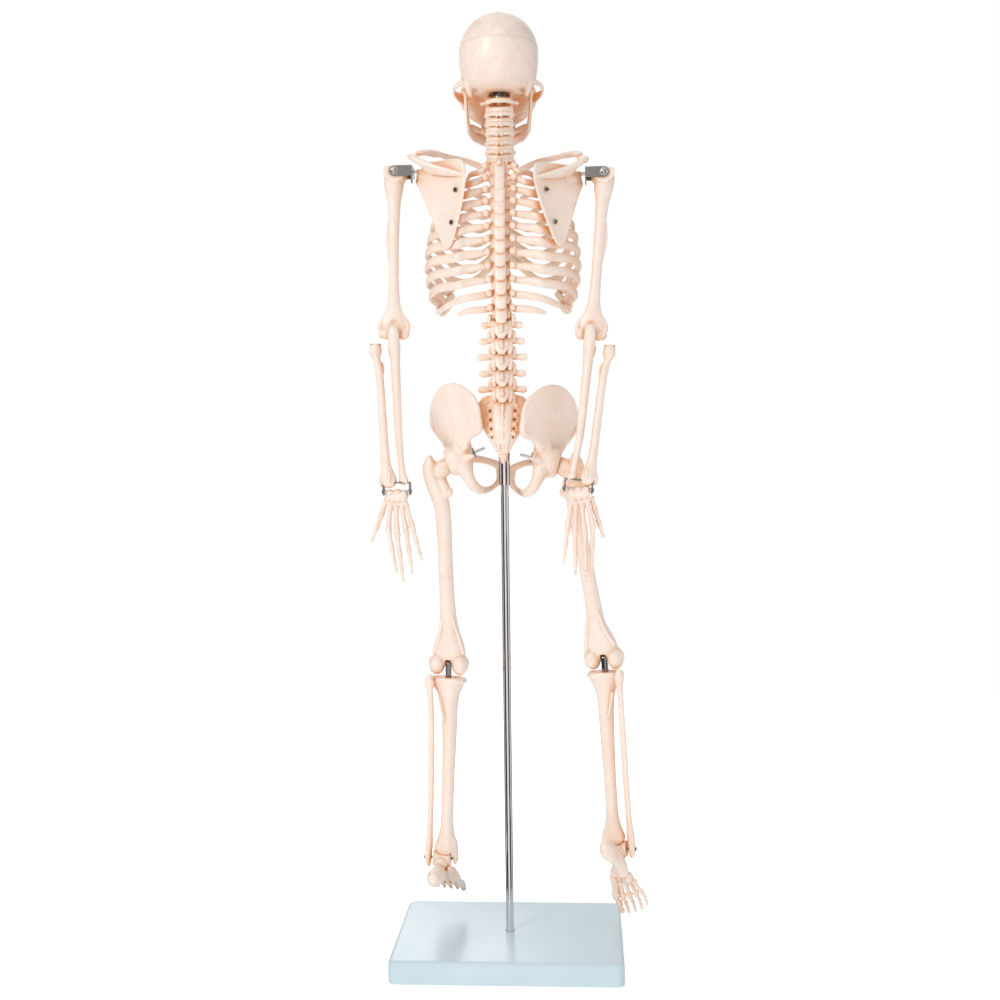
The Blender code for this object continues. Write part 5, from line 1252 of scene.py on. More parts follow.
def boolean_slot(thing, place, spot, turn):
    """One stroke of a crossed recess, cut into a screw head that faces the chart's +y."""
    x, y, z = spot
    tilt = 0.5 if turn == 1 else 0.5 + math.pi / 2
    along = place.x * math.cos(tilt) + place.z * math.sin(tilt)
    across = place.z * math.cos(tilt) - place.x * math.sin(tilt)
    at = place.origin + place.x * x + place.y * y + place.z * z
    bm = bmesh.new()
    brick(bm, Chart(at, along, place.y, across), (-1.35, -0.85, -0.3), (1.35, 1.0, 0.3))
    boolean(thing, bm, solver="EXACT")


def build_bracket(side):
    """A bent strap round the humeral head, its pin into the blade, and the bolt with its nut."""
    place = Chart(SHOULDER[side], x=(side, 0, 0))
    name = SIDES[side]
    out = STRAP_HALF
    thick = 1.1
    bm = bmesh.new()
    brick(bm, place, (-PLATE_X, -out, -4.5), (0, out, 4.5))
    drum(bm, place, (0, -out, 0), (0, out, 0), 4.5, 64)
    strap = remeshed_free(thing_from(bm, f"shoulder_strap_{name}_plate"))
    carve(strap, lambda m: brick(m, place, (-PLATE_X + thick, -out + thick, -8), (20, out - thick, 8)))
    bm = bmesh.new()
    brick(bm, place, (-PLATE_X, 3, -10.6), (-PLATE_X + thick, 9, -4))
    boolean(strap, bm, "UNION", "EXACT")
    bevelled(strap, 0.28, 3, 50)
    body = f"shoulder_strap_{name}"
    piece(strap, body, "dark_steel", DARK, f"shoulder_bracket_{name}", angle=40)
    bm = bmesh.new()
    drum(bm, place, (-PLATE_X - 6.6, 0, 0), (-PLATE_X + 1.6, 0, 0), 1.5, 32)
    screw(bm, place, (-PLATE_X + thick, 0, 0), 3.0, (1, 0, 0), 1.3)
    piece(thing_from(bm, f"shoulder_pin_{name}"), body, "dark_steel", STEEL, angle=35)
    bm = bmesh.new()
    drum(bm, place, (0, -out - 2.4, 0), (0, out, 0), 1.45, 32)
    drum(bm, place, (0, -out, 0), (0, -out - 2.3, 0), 2.9, 6)
    drum(bm, place, (0, out, 0), (0, out + 0.4, 0), 3.5, 48)
    screw(bm, place, (0, out + 0.5, 0), 2.9, (0, 1, 0), 1.9)
    bolt = thing_from(bm, f"shoulder_bolt_{name}_screw")
    for turn in (1, -1):
        boolean_slot(bolt, place, (0, out + 2.4, 0), turn)
    piece(bolt, body, "bright_steel", STEEL, f"shoulder_bolt_{name}", angle=35)


def remeshed_free(thing):
    """Joins overlapping plain solids into one body without rounding them."""
    bm = bmesh.new()
    bm.from_mesh(thing.data)
    parts = []
    seen = set()
    for start in bm.verts:
        if start in seen:
            continue
        seen.add(start)
        stack, body = [start], []
        while stack:
            vert = stack.pop()
            body.append(vert.index)
            for edge in vert.link_edges:
                other = edge.other_vert(vert)
                if other not in seen:
                    seen.add(other)
                    stack.append(other)
        parts.append(set(body))
    solids = []
    for part in parts:
        one = bm.copy()
        one.verts.ensure_lookup_table()
        bmesh.ops.delete(one, geom=[v for v in one.verts if v.index not in part], context="VERTS")
        solids.append(one)
    bm.free()
    solids[0].to_mesh(thing.data)
    solids[0].free()
    for other in solids[1:]:
        boolean(thing, other, "UNION", "EXACT")
    return thing


def build_clavicle(side):
    flank = shifted_chart(side, SHOULDER[side], (93.5, 8.5, 709.0))
    shift = flank.origin
    points = [(11.0, -40, 711, (4.4, 4.4)), (14.5, -41.4, 716, (3.9, 3.8)), (22, -42.0, 722, (3.1, 3.1)),
              (34, -37.6, 726.6, (2.8, 2.8)), (48, -27, 728, (2.8, 2.8)), (59, -13.6, 729, (3.2, 2.8)),
              (67, -2.4, 728.4, (4.2, 2.7)), (72.0, 3.4, 726.6, (4.2, 2.5))]
    rows = []
    for index, (x, y, z, r) in enumerate(points):
        keep = 1 - index / (len(points) - 1)
        rows.append((x - keep * shift.x * side, y - keep * shift.y, z - keep * shift.z, r))
    bm = bmesh.new()
    limb(bm, flank, rows, 24, 7)
    limb(bm, flank, [(rows[5][0], rows[5][1] + 1, rows[5][2] - 2.2, 1.6),
                     (rows[6][0], rows[6][1] + 0.6, rows[6][2] - 2.0, 1.4)], 10)
    bone(melted(f"clavicle_{SIDES[side]}_bone", bm, 0.42, 4, 0.35), "torso", f"clavicle_{SIDES[side]}")


# ---------------------------------------------------------------- arm

def build_humerus(side):
    top, bottom = SHOULDER[side], ELBOW[side]
    place = bone_chart(side, top, bottom)
    low = -length(top, bottom)
    bm = bmesh.new()
    drum(bm, place, (0, -8.0, 0), (0, 8.0, 0), 9.6, 64)
    ball(bm, place, (-2.6, 0, -2.5), (8.4, 8.4, 8.8), 4)
    limb(bm, place, [(6.2, -1.5, -3, (3.9, 6.4)), (6.0, -1.5, -12, (3.6, 5.4)), (4.4, -1, -24, (2.8, 4.2))],
         22)
    limb(bm, place, [(0.6, 0, -4, (9.0, 8.2)), (0.6, 0, -14, (8.0, 7.2)), (0.6, 0, -26, (6.0, 5.8)),
                     (0.6, 0, -48, 4.9), (0.5, 0, -78, 4.5), (0.3, 0, -104, (4.8, 4.3)),
                     (0.2, 0, -119, (6.6, 4.0)), (0, 0, -128, (10.2, 3.9)), (0, 0, -135, (12.6, 4.0)),
                     (0, 0, low + 1, (9.4, 3.4))], 32)
    limb(bm, place, [(4.6, -0.6, -42, 1.5), (5.4, -0.8, -56, 2.4), (5.0, -0.8, -66, 2.2),
                     (3.8, -0.4, -78, 1.4)], 14)
    limb(bm, place, [(-8.6, -0.4, low, 5.6), (-5.4, -0.4, low, 4.6), (-2.0, -0.4, low, 5.0),
                     (1.4, -0.4, low, 4.6),
                     (6.0, -0.8, low, 5.2), (9.6, -0.8, low, 4.4)], 28, 5, across=(0, 1, 0))
    limb(bm, place, [(-9.0, 0.2, -128, 2.0), (-11.8, 0.4, -133, 2.3), (-12.6, 0.6, -137, 2.4),
                     (-11.6, 0.4, -140, 2.4)], 14)
    limb(bm, place, [(8.6, 0.2, -127, 1.9), (11.2, 0.4, -132, 2.2), (12.2, 0.5, -136, 2.4),
                     (11.4, 0.4, -139.5, 2.3)], 14)
    bone_mesh = melted(f"humerus_{SIDES[side]}_bone", bm, 0.45, 4, 0.35)
    world_place = Chart(top, x=(side, 0, 0))
    carve(bone_mesh, lambda m: brick(m, place, (-30, -30, 4.3), (30, 30, 30)),
          lambda m: ball(m, place, (-0.6, 5.6, -132.5), (4.8, 2.8, 3.6), 4),
          lambda m: ball(m, place, (-0.8, -5.8, -131.0), (6.0, 3.8, 6.2), 4))
    remeshed(bone_mesh, 0.44, 2)
    carve(bone_mesh, lambda m: drum(m, world_place, (0, -30, 0), (0, 30, 0), 1.7, 24))
    bone(bone_mesh, f"upper_arm_{SIDES[side]}", f"humerus_{SIDES[side]}")


def build_forearm(side):
    name = SIDES[side]
    body = f"forearm_{name}"
    top, bottom = ELBOW[side], WRIST[side]
    place = bone_chart(side, top, bottom)
    low = -length(top, bottom)
    bm = bmesh.new()
    limb(bm, place, [(-1, 8.8, 4.0, (4.2, 3.2)), (-1, 9.4, 0, (4.8, 3.6)), (-1, 8.6, -5, (5.0, 3.8)),
                     (-1, 4.4, -11, (5.2, 5.0)), (-1, 1.6, -18, (4.7, 5.0)), (-1, 0.4, -28, (4.2, 4.4)),
                     (-1.5, 0, -50, (3.9, 4.1)), (-2.5, 0, -90, 3.4), (-4.4, 0, low + 26, 2.8),
                     (-5.6, 0, low + 15, (3.2, 3.2)), (-6.2, 0, low + 10.5, (4.4, 4.0)),
                     (-6.4, 0, low + 8.6, (3.8, 3.6))],
         28)
    limb(bm, place, [(-1, -2.6, -10.6, (4.4, 3)), (-1, -6.0, -8.0, (3.8, 2.2)), (-1, -7.4, -6.0, (3.0, 1.4))],
         18)
    limb(bm, place, [(3.4, -1, -11.6, 2.2), (3.2, 0, -18, 1.6)], 12)
    limb(bm, place, [(-8.8, 2.4, low + 9.6, 1.5), (-9.2, 2.8, low + 7.0, 1.1)], 10)
    ulna = melted(f"ulna_{name}_bone", bm, 0.42, 4, 0.3)
    carve(ulna, lambda m: drum(m, place, (-25, 0, 0), (25, 0, 0), 5.9, 48))
    remeshed(ulna, 0.42, 2)
    bone(ulna, body, f"ulna_{name}")

    bm = bmesh.new()
    limb(bm, place, [(16.8, 0, -12.6, 5.4), (16.8, 0, -16.6, 5.6), (16.6, 0, -18.4, 4.8), (15.9, 0, -23, 3.3),
                     (14.4, 0, -30, (3.5, 3.5)), (13.2, 0, -42, 3.4), (11.9, 0, -70, 3.6),
                     (10.6, 0, -100, (3.8, 3.7)),
                     (9.6, 0, low + 24, (4.6, 4.2)), (8.2, 0, low + 14, (6.8, 5.2)),
                     (7.6, 0, low + 9.4, (7.6, 5.6)),
                     (7.6, 0, low + 8.0, (7.0, 5.0))], 28)
    limb(bm, place, [(12.2, -2.4, -26, 1.6), (11.6, -2.4, -30, 2.1), (11.2, -2.0, -35, 1.5)], 14)
    limb(bm, place, [(13.6, 0, low + 12, 2.6), (14.2, 0, low + 8, 2.0), (14.4, 0, low + 5.6, 1.3)], 14)
    limb(bm, place, [(6, 4.6, low + 17, 1.2), (6, 5.2, low + 10, 1.5)], 10)
    radius = melted(f"radius_{name}_bone", bm, 0.42, 4, 0.3)
    carve(radius, lambda m: limb(m, place,
                                 [(-6.2, 0, low + 34, 4.0), (-6.2, 0, low + 20, 4.4), (-6.2, 0, low, 5.2)],
                                 32),
          lambda m: ball(m, place, (16.8, 0, -9.2), (3.6, 3.6, 3.0), 4))
    bone(radius, body, f"radius_{name}")
    bm = bmesh.new()
    for offset in (-3.1, 3.1):
        drum(bm, place, (16.8 + offset, 0, -9.6), (16.8 + offset, 0, -17), 0.9, 16)
        screw(bm, place, (16.8 + offset, 0, -9.7), 1.8, (0, 0, 1), 1.3)
    piece(thing_from(bm, f"radius_screws_{name}"), body, "dark_steel", DARK, angle=35)

    wrist = Chart(WRIST[side], place.x, place.y, place.z)
    bm = bmesh.new()
    brick(bm, wrist, (-12.7, -3.4, -3.4), (12.7, 3.4, 8.6))
    strap = thing_from(bm, f"wrist_strap_{name}")
    carve(strap, lambda m: brick(m, wrist, (-11.2, -6, -10), (11.2, 6, 7.2)))
    bevelled(strap, 0.25, 3, 50)
    piece(strap, body, "bright_steel", DARK, f"wrist_bracket_{name}", angle=40)
    bm = bmesh.new()
    drum(bm, wrist, (-12.6, 0, 0), (12.6, 0, 0), 1.25, 24)
    for edge in (1, -1):
        screw(bm, wrist, (edge * 12.2, 0, 0), 2.4, (edge, 0, 0), 1.4)
        drum(bm, wrist, (edge * 11.2, 0, 0), (edge * 10.6, 0, 0), 2.2, 6)
        screw(bm, wrist, (edge * 6.5, 0, 8.2), 1.9, (0, 0, 1), 1.1)
        screw(bm, wrist, (edge * 6.5, 0, 7.2), 1.9, (0, 0, -1), 1.0)
    piece(thing_from(bm, f"wrist_screws_{name}"), body, "bright_steel", STEEL, angle=35)


def digit(bm, place, joints, radii):
    """A row of small bones end to end: each narrow in the middle and flared at its ends."""
    for (a, b), (ra, rb) in zip(zip(joints, joints[1:]), zip(radii, radii[1:])):
        a, b = Vector(a), Vector(b)
        way = b - a
        waist = min(ra, rb) * 0.74
        rows = [(*(a + way * 0.02), ra * 0.80), (*(a + way * 0.10), ra),
                (*(a + way * 0.24), (ra + waist) / 2.1),
                (*(a + way * 0.50), waist), (*(a + way * 0.76), (rb + waist) / 2.1), (*(a + way * 0.90), rb),
                (*(a + way * 0.985), rb * 0.78)]
        limb(bm, place, rows, 14, 3)


# per finger: carpal joint, knuckle, and the lines of its joints down to the tip, as (x, z)
FINGERS = [((6.0, -11), (9.0, -32), (3.5, -73), 2.75), ((1.5, -12), (1.2, -37), (-2.6, -81.5), 2.85),
           ((-3.5, -11.5), (-7.0, -35), (-11.0, -74), 2.7),
           ((-7.5, -10.5), (-13.2, -33), (-20.0, -62.5), 2.45)]


def build_hand(side):
    name = SIDES[side]
    place = bone_chart(side, WRIST[side], (WRIST[side][0], WRIST[side][1], 0), tilt=HAND_TILT[side])
    end = bone_chart(side, ELBOW[side], WRIST[side])
    wrist = Chart(WRIST[side], end.x, end.y, end.z)
    bm = bmesh.new()
    for x, y, z, rx, ry, rz in ((6.4, 0, -1.2, 3.9, 3.9, 3.3), (-0.2, 0, -0.6, 3.6, 3.9, 3.2),
                                (-6.2, 0, -1.4, 3.4, 3.8, 3.1),
                                (-7.6, -2.6, -3.4, 2.2, 2.4, 2.2), (9.0, -0.8, -6.6, 3.0, 3.2, 2.7),
                                (4.4, 0, -7.2, 2.9, 3.3, 3.0), (0, 0, -7.0, 2.9, 3.6, 3.8),
                                (-5.4, 0, -7.4, 3.6, 3.5, 3.4)):
        ball(bm, place, (x, y, z), (rx, ry, rz), 4)
    limb(bm, place, [(-6.8, 0, -4, (3.3, 4.8)), (0, 0, -4.6, (3.6, 5.6)), (7.4, 0, -4, (3.3, 4.8))], 24,
         across=(0, 1, 0))
    limb(bm, place, [(-7.6, 0, -10.4, 2.2), (0, 0, -11.4, 2.3), (8.2, 0, -10.2, 2.2)], 16, across=(0, 1, 0))
    for base, knuckle, tip, size in FINGERS:
        run = [Vector((base[0], 0.2, base[1])), Vector((knuckle[0], 0.9, knuckle[1]))]
        way = Vector((tip[0], -2.4, tip[1])) - run[1]
        run.append(run[1] + way * 0.47 + Vector((0, 0.6, 0)))
        run.append(run[1] + way * 0.77 + Vector((0, 0.2, 0)))
        run.append(run[1] + way)
        digit(bm, place, run, [size * 0.98, size * 1.08, size * 0.86, size * 0.70, size * 0.52])
    thumb = [Vector((10.4, -1.6, -8.0)), Vector((15.0, -3.2, -19.5)), Vector((20.6, -3.6, -32.5)),
             Vector((26.0, -3.0, -45.0))]
    thumb = [Vector((thumb[0].x + (spot.x - thumb[0].x) * THUMB_SPREAD[side], spot.y,
                     spot.z)) for spot in thumb]
    digit(bm, place, thumb, [2.7, 2.8, 2.4, 1.6])
    hand = melted(f"hand_{name}_bones", bm, 0.36, 3, 0.25)
    carve(hand, lambda m: drum(m, wrist, (-40, 0, 0), (40, 0, 0), 1.45, 24),
          *[lambda m, e=edge: brick(m, wrist, (min(e * 10.4, e * 20), -9, -4.6),
                                    (max(e * 10.4, e * 20), 9, 12))
            for edge in (1, -1)],
          lambda m: brick(m, wrist, (-30, -20, 3.6), (30, 20, 30)))
    drop_crumbs(hand)
    bone(hand, f"hand_{name}", f"hand_{name}")
    shade(hand, 60)


# ---------------------------------------------------------------- leg

def leg_chart(side, top, bottom):
    return bone_chart(side, top, bottom, yaw=LEG_YAW[side])


def build_thigh(side):
    name = SIDES[side]
    top, bottom = HIP[side], KNEE[side]
    place = leg_chart(side, top, bottom)
    knee = leg_chart(side, KNEE[side], ANKLE[side])
    low = -length(top, bottom)
    bm = bmesh.new()
    ball(bm, place, (0, 0, 0), 10.3, 5)
    limb(bm, place, [(2, 0, -1.6, (7.8, 8.0)), (9, 0.4, -6, (8.2, 7.4)), (17, 1, -12, (9.2, 7.6))], 28)
    limb(bm, place, [(24.4, 3.0, 0.2, (3.4, 4.6)), (23.6, 2.8, -5, (6.0, 6.6)), (22.6, 2.6, -13, (6.8, 7.4)),
                     (19.0, 1.6, -23, (7.2, 7.4)), (14.2, 0.5, -34, (7.4, 7.2)),
                     (10.4, -0.5, -48, (6.9, 6.8)),
                     (7.0, -1.5, -88, (6.5, 6.4)), (3.4, -0.8, -132, (6.9, 6.6)),
                     (1.2, 0, low + 34, (8.8, 7.2)),
                     (0.4, 0, low + 20, (13.2, 8.0)), (0, -0.6, low + 10, (15.0, 8.0)),
                     (0, -1.5, low + 5, (14.2, 7.2))],
         36)
    limb(bm, place, [(14.5, 1.2, -19, (6.4, 6.0)), (9.6, 2.2, -26.6, 5.4), (9.6, 1.8, -31.6, 5.2),
                     (12.6, 0.6, -41, 4.4)],
         20, 5)
    ball(bm, place, (4.6, 3.0, -29.4), (3.2, 3.4, 4.4), 4)
    for edge in (1, -1):
        limb(bm, place, [(edge * 4.5 + 2.4, 4.8, low + 44, 1.4), (edge * 9, 5.4, low + 26, 1.8),
                         (edge * 13, 3.6, low + 12, 2.2)], 12)
        ball(bm, knee, (edge * 10.6, 1.4, 0.2), (7.2, 8.9, 9.4), 4)
        ball(bm, knee, (edge * 9.8, -3.4, 2.2), (6.6, 7.4, 8.6), 4)
        ball(bm, knee, (edge * 15.4, 0.4, 2.4), (3.2, 5.0, 5.0), 4)
    femur = melted(f"femur_{name}_bone", bm, 0.5, 4, 0.4)
    carve(femur, lambda m: limb(m, knee, [(0, 12, -4, 3.4), (0, 6, 1.0, 3.3), (0, -2, 1, 3.2),
                                          (0, -4, -6, 3.2)], 24),
          lambda m: ball(m, knee, (0, -13.4, 4), (3.6, 3.4, 9), 4),
          lambda m: ball(m, knee, (0, 12.6, 9.5), (7.4, 3.8, 8.4), 4))
    remeshed(femur, 0.48, 2)
    carve(femur, lambda m: drum(m, knee, (-13, 0, 0), (13, 0, 0), 1.4, 24),
          lambda m: brick(m, knee, (-2.6, -4.6, -20), (2.6, 10, 5.0)),
          lambda m: drum(m, bolt_chart(side), (-1, 0, 0), (30, 0, 0), 1.6, 24))
    drop_crumbs(femur)
    bone(femur, f"thigh_{name}", f"femur_{name}")
    bm = bmesh.new()
    limb(bm, knee, [(0, -13.8, 12.4, (4.8, 2.6)), (0, -14.0, 8, (7.8, 3.6)), (0, -14.0, 4, (7.4, 3.7)),
                    (0, -13.6, 0.4, (4.4, 2.9)), (0, -13.2, -2.4, (1.8, 1.8))], 30)
    patella = melted(f"patella_{name}_bone", bm, 0.4, 3, 0.25)
    carve(patella, lambda m: drum(m, knee, (-30, 0, 0), (30, 0, 0), 11.0, 64))
    bone(patella, f"thigh_{name}", f"patella_{name}")


def build_shank(side):
    name = SIDES[side]
    body = f"shank_{name}"
    top, bottom = KNEE[side], ANKLE[side]
    place = leg_chart(side, top, bottom)
    low = -length(top, bottom)
    outline = [(-3.4, -17.0), (3.4, -17.0)]
    outline += [(3.4 * math.cos(math.pi * s / 20), 0.5 + 3.4 * math.sin(math.pi * s / 20)) for s in range(21)]
    bm = bmesh.new()
    chart = Chart(top, x=place.y, y=place.x, z=place.z)
    front = [bm.verts.new(chart((x, -2.3, z))) for x, z in outline]
    rear = [bm.verts.new(chart((x, 2.3, z))) for x, z in outline]
    for index in range(len(outline)):
        nxt = (index + 1) % len(outline)
        bm.faces.new((front[index], front[nxt], rear[nxt], rear[index]))
    bm.faces.new(tuple(reversed(front)))
    bm.faces.new(tuple(rear))
    tab = bevelled(thing_from(bm, f"knee_tab_{name}_plate"), 0.3, 3, 50)
    piece(tab, body, "dark_steel", DARK, f"knee_tab_{name}", angle=40)
    bm = bmesh.new()
    drum(bm, place, (-12, 0, 0), (12, 0, 0), 1.2, 24)
    piece(thing_from(bm, f"knee_pin_{name}"), body, "dark_steel", STEEL, angle=40)

    bm = bmesh.new()
    limb(bm, place, [(0, 0.4, -13.2, (17.0, 10.6)), (0, 0.4, -15.8, (17.0, 10.6)),
                     (-0.6, 0.2, -20, (13.6, 9.6)),
                     (-1, -0.4, -28, (9.6, 8.6)), (-1.5, -1, -40, (7.6, 7.8)), (-2, -1, -64, (6.6, 6.8)),
                     (-2, -0.5, -105, 5.6), (-2, 0, low + 36, 5.6), (-2, 0, low + 22, (7.2, 6.6)),
                     (-1.7, 0, low + 13, (9.8, 8.2)), (-1.5, 0, low + 9.6, (10.4, 8.6))], 40)
    for edge in (1, -1):
        ball(bm, place, (edge * 9.4, 0.6, -14.4), (7.8, 9.8, 3.4), 4)
    limb(bm, place, [(-1, -8.6, -18, 2.4), (-1, -9.0, -23, 3.2), (-1.2, -8.0, -30, 2.2),
                     (-1.6, -7.4, -44, 1.5),
                     (-2.2, -6.6, -80, 1.3), (-3.2, -5.0, -118, 1.2)], 14)
    limb(bm, place, [(-8.4, 0, low + 16, (3.4, 5.4)), (-10.0, 0, low + 8, (3.0, 5.2)),
                     (-10.6, 0, low + 1, (2.3, 4.2)),
                     (-10.4, 0, low - 3.4, (1.8, 2.8))], 20)
    limb(bm, place, [(7, 6, -30, 1.4), (2.5, 6.6, -50, 1.3)], 10)
    tibia = melted(f"tibia_{name}_bone", bm, 0.48, 4, 0.35)
    carve(tibia, lambda m: brick(m, place, (-30, -30, -11.2), (30, 30, 10)),
          lambda m: ball(m, place, (10.2, 0.5, -8.6), (6.4, 8.4, 4.0), 4),
          lambda m: ball(m, place, (-10.2, 0.5, -8.6), (6.4, 8.4, 4.0), 4),
          lambda m: drum(m, place, (-8.4, 0, low), (20, 0, low), TALUS_R + 0.9, 48))
    remeshed(tibia, 0.46, 2)
    carve(tibia, lambda m: brick(m, place, (-2.5, -3.6, -17.5), (2.5, 3.6, -5)),
          lambda m: drum(m, place, (-20, 0, low), (20, 0, low), 1.4, 24))
    drop_crumbs(tibia)
    bone(tibia, body, f"tibia_{name}")

    bm = bmesh.new()
    limb(bm, place, [(15.5, 12.6, -9.6, (2.4, 2.4)), (15.5, 12.5, -12.6, (4.0, 3.8)),
                     (15.5, 12.3, -16, (4.6, 4.4)),
                     (15.0, 11.2, -22, (3.2, 3.2)), (14.3, 7.6, -38, 2.7), (13.6, 4.4, -74, (2.9, 2.7)),
                     (13.4, 2.4, -120, (2.8, 2.6)), (13.6, 1.4, low + 26, (2.8, 3.2)),
                     (14.0, 1, low + 14, (3.4, 4.4)),
                     (14.4, 1, low + 4, (3.3, 4.8)), (14.4, 1, low - 3, (2.8, 4.2)),
                     (14.2, 1, low - 6.6, (1.9, 2.8))],
         28)
    fibula = melted(f"fibula_{name}_bone", bm, 0.44, 4, 0.35)
    carve(fibula, lambda m: drum(m, place, (0, 0, low), (40, 0, low), 1.4, 24))
    bone(fibula, body, f"fibula_{name}")
    ankle = Chart(ANKLE[side], place.x, place.y, place.z)
    bm = bmesh.new()
    drum(bm, ankle, (-13.0, 0, 0), (18.0, 0, 0), 1.2, 24)
    screw(bm, ankle, (17.4, 0, 0), 1.9, (1, 0, 0), 1.1)
    piece(thing_from(bm, f"ankle_pin_{name}"), body, "dark_steel", DARK, f"ankle_bolt_{name}", angle=35)


def foot_chart(side):
    leg = leg_chart(side, KNEE[side], ANKLE[side])
    drop = math.radians(FOOT_DROP[side])
    up = Vector((0, 0, 1))
    out = (leg.x - leg.x.dot(up) * up).normalized()
    back = up.cross(out) * side
    rear = back * math.cos(drop) + up * math.sin(drop) - FOOT_TURN_OUT[side] * leg.x
    return Chart(ANKLE[side], leg.x, rear, up * math.cos(drop) - back * math.sin(drop))


# toe rays: base x, head (x, y), tip (x, y), radius
RAYS = [(-6.5, (-9.5, -50), (-8, -73), 3.9), (-2, (-3, -53), (-2, -74), 2.6), (2.5, (3, -51), (4, -71), 2.5),
        (6.5, (8.5, -48), (9.5, -66), 2.4), (10, (13.5, -43), (14.5, -59), 2.4)]


def build_foot(side):
    name = SIDES[side]
    place = foot_chart(side)
    leg = leg_chart(side, KNEE[side], ANKLE[side])
    ankle = Chart(ANKLE[side], leg.x, leg.y, leg.z)
    bm = bmesh.new()
    limb(bm, place, [(-6.4, 0, 0, 6.2), (-4.8, 0, 0, 7.4), (2.2, 0, 0, 6.9), (9.0, 0, 0, 7.4),
                     (9.6, 0, 0, 6.4)],
         40, 4, across=(0, 1, 0), round_ends=False)
    limb(bm, place, [(2.2, 3, -5, (6.6, 6.4)), (1.4, -5, -6.6, (6.2, 5.8)), (0, -13, -8.6, (5.4, 5.0)),
                     (-1.4, -18.6, -10.2, (5.8, 5.4))], 26, across=(1, 0, 0))
    limb(bm, place, [(4.5, -14, -15.5, (5.4, 5.6)), (4.0, -6, -13, (6.0, 6.4)), (3, 6, -13.4, (6.2, 7.0)),
                     (2.4, 18, -16, (6.2, 7.8)), (2.2, 27, -18.6, (7.0, 8.6)), (2.2, 33.6, -20, (6.6, 7.6)),
                     (2.2, 37, -20.4, (5.2, 5.8))], 30, across=(1, 0, 0))
    limb(bm, place, [(-5.5, -1, -9.5, (2.6, 3.2)), (-5.8, 4, -10, (2.2, 2.6))], 14)
    ball(bm, place, (-2.0, -20.8, -11.4), (7.4, 3.6, 6.0), 4)
    for x, y, z, rx, ry, rz in ((-6.6, -27.4, -14.2, 4.0, 5.0, 5.6), (-1.4, -27.0, -12.6, 3.2, 4.4, 4.6),
                                (3.4, -26.6, -13.4, 3.2, 4.6, 4.6), (8.2, -22.6, -16.0, 4.4, 6.8, 4.6)):
        ball(bm, place, (x, y, z), (rx, ry, rz), 4)
    for base, head, tip, size in RAYS:
        fan = TOE_FAN[side] if head[0] > 0 else 1.0
        start = Vector((base, -30, -14.6))
        knuckle = Vector((head[0] * fan, head[1], -20.2))
        end = Vector((tip[0] * fan, tip[1], -23.2))
        way = end - knuckle
        digit(bm, place, [start, knuckle], [size * 1.12, size * 1.06])
        if size > 3:
            digit(bm, place, [knuckle, knuckle + way * 0.52 + Vector((0, 0, 0.8)), end],
                  [size * 0.95, size * 0.82, size * 0.72])
        else:
            digit(bm, place, [knuckle, knuckle + way * 0.46 + Vector((0, 0, 1.6)),
                              knuckle + way * 0.74 + Vector((0, 0, 0.6)), end],
                  [size * 0.98, size * 0.80, size * 0.78, size * 0.66])
    limb(bm, place, [(-7, -33, -15.4, 2.4), (0, -33.4, -15.2, 2.4), (11, -29.5, -16.4, 2.4)], 14,
         across=(0, 1, 0))
    limb(bm, place, [(-8, -47.5, -19.6, 1.5), (3, -48.5, -19.4, 1.4), (13, -41.5, -19.4, 1.4)], 12,
         across=(0, 1, 0))
    limb(bm, place, [(11.5, -26, -17.4, 2.2), (15.2, -24, -18.6, 1.8)], 10)
    foot = melted(f"foot_{name}_bones", bm, 0.40, 2, 0.3)
    carve(foot, lambda m: drum(m, ankle, (-40, 0, 0), (40, 0, 0), 1.4, 24))
    drop_crumbs(foot)
    bone(foot, f"foot_{name}", f"foot_{name}")


# ---------------------------------------------------------------- build

build_stand()
build_skull()
build_jaw()
build_neck_plate()
build_cervical()
build_thoracic()
build_lumbar()
build_sacrum()
build_ribs()
build_symphysis()
for SIDE in (1, -1):
    build_hip_bone(SIDE)
    build_scapula(SIDE)
    build_bracket(SIDE)
    build_clavicle(SIDE)
    build_humerus(SIDE)
    build_forearm(SIDE)
    build_hand(SIDE)
    build_thigh(SIDE)
    build_shank(SIDE)
    build_foot(SIDE)


# ---------------------------------------------------------------- studio

def floor_finish():
    """A pale floor that lights itself a little; polished metal looks through it to the studio's flags."""
    n = Nodes("studio_floor")
    n.set(Base_Color=n.ramp(n.noise(3.0, 2.0), [(0.3, (0.90, 0.90, 0.905)), (0.7, (0.93, 0.93, 0.935))]),
          Roughness=0.55, Emission_Color=(1.0, 1.0, 1.0, 1.0), Emission_Strength=0.42)
    mirror = n.add("ShaderNodeLightPath").outputs["Is Glossy Ray"]
    through = n.add("ShaderNodeBsdfTransparent")
    either = n.add("ShaderNodeMixShader", Fac=mirror)
    n.feed(either.inputs[1], n.shader.outputs["BSDF"])
    n.feed(either.inputs[2], through.outputs["BSDF"])
    n.feed(n.tree.nodes["Material Output"].inputs["Surface"], either.outputs["Shader"])
    return n.material


FLOOR_R = 1.4
SOFT_LIGHT = 0.72
# dark flags and bright panels round the studio, as (place from right to left, brightness)
FLAGS = [(0.0, 0.80), (0.035, 0.72), (0.07, 0.04), (0.27, 0.03), (0.33, 0.85), (0.66, 1.0), (0.72, 0.04),
         (0.93, 0.03), (0.965, 0.30), (1.0, 0.35)]


def build_floor():
    bm = bmesh.new()
    bmesh.ops.create_circle(bm, cap_ends=True, segments=96, radius=FLOOR_R)
    floor = thing_from(bm, "studio_floor")
    floor.data.materials.append(floor_finish())


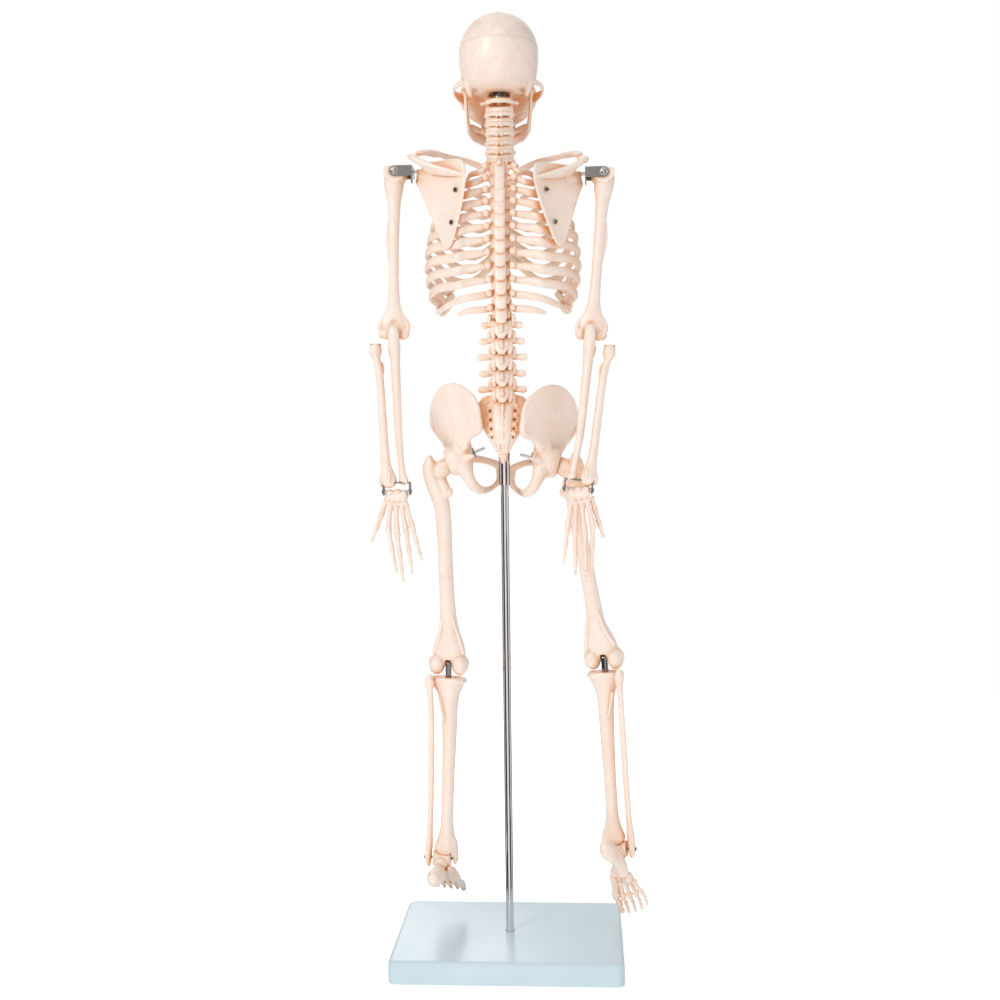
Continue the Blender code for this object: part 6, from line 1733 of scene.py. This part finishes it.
def build_world():
    """The camera sees white, polished metal sees the flags, and the rest gets an even soft light."""
    world = bpy.data.worlds.new("studio")
    bpy.context.scene.world = world
    world.use_nodes = True
    tree = world.node_tree
    back = tree.nodes["Background"]
    back.inputs["Strength"].default_value = 1.0
    ray = tree.nodes.new("ShaderNodeLightPath")
    way = tree.nodes.new("ShaderNodeTexCoord")
    split = tree.nodes.new("ShaderNodeSeparateXYZ")
    tree.links.new(way.outputs["Generated"], split.inputs["Vector"])
    flags = tree.nodes.new("ShaderNodeValToRGB")
    shift = tree.nodes.new("ShaderNodeMapRange")
    shift.inputs["From Min"].default_value = -1.0
    tree.links.new(split.outputs["X"], shift.inputs["Value"])
    tree.links.new(shift.outputs["Result"], flags.inputs["Fac"])
    while len(flags.color_ramp.elements) < len(FLAGS):
        flags.color_ramp.elements.new(0.5)
    for element, (spot, level) in zip(flags.color_ramp.elements, FLAGS):
        element.position = spot
        element.color = (level, level, level, 1.0)

    def choose(ray_kind, otherwise, then):
        made = tree.nodes.new("ShaderNodeMix")
        made.data_type = "RGBA"
        tree.links.new(ray.outputs[ray_kind], made.inputs[0])
        for socket, value in ((made.inputs[6], otherwise), (made.inputs[7], then)):
            if isinstance(value, bpy.types.NodeSocket):
                tree.links.new(value, socket)
            else:
                socket.default_value = (value, value, value, 1.0)
        return made.outputs[2]

    seen = choose("Is Camera Ray", SOFT_LIGHT, 1.0)
    tree.links.new(choose("Is Glossy Ray", seen, flags.outputs["Color"]), back.inputs["Color"])


def build_lamps():
    def area(name, spot, target, size, power, colour=(1, 1, 1)):
        lamp = bpy.data.lights.new(name, "AREA")
        lamp.shape = "RECTANGLE"
        lamp.size, lamp.size_y = size
        lamp.energy = power
        lamp.color = colour
        made = bpy.data.objects.new(name, lamp)
        made.location = spot
        made.rotation_euler = (Vector(target) - Vector(spot)).to_track_quat("-Z", "Y").to_euler()
        bpy.context.scene.collection.objects.link(made)

    area("key", (1.25, 1.55, 1.45), (0, 0, 0.45), (0.7, 0.9), 16.0, (1.0, 0.985, 0.965))
    area("fill", (-1.5, 1.0, 0.9), (0, 0, 0.45), (1.2, 1.4), 2.0, (0.97, 0.98, 1.0))
    area("front", (0.6, -1.7, 1.3), (0, 0, 0.5), (1.2, 1.2), 7.0)


LENS = 47.65
EYE_SPOT = (-0.0712, 1.1905, 0.4829)
EYE_AXES = ((-0.99796, -0.06261, -0.01255), (-0.00902, -0.05633, 0.99837), (0.06321, -0.99645, -0.05565))


def build_camera():
    """Looks from behind, a little above the pelvis, slightly down."""
    eye = bpy.data.cameras.new("camera")
    eye.sensor_width = 36.0
    eye.lens = LENS
    eye.clip_start = 0.01
    eye.clip_end = 50.0
    made = bpy.data.objects.new("camera", eye)
    bpy.context.scene.collection.objects.link(made)
    right, up, ahead = (Vector(axis) for axis in EYE_AXES)
    turn = Matrix((right, up, -ahead)).transposed().to_4x4()
    made.matrix_world = Matrix.Translation(EYE_SPOT) @ turn
    bpy.context.scene.camera = made


build_floor()
build_world()
build_lamps()
build_camera()
bpy.context.scene.view_settings.view_transform = "Standard"
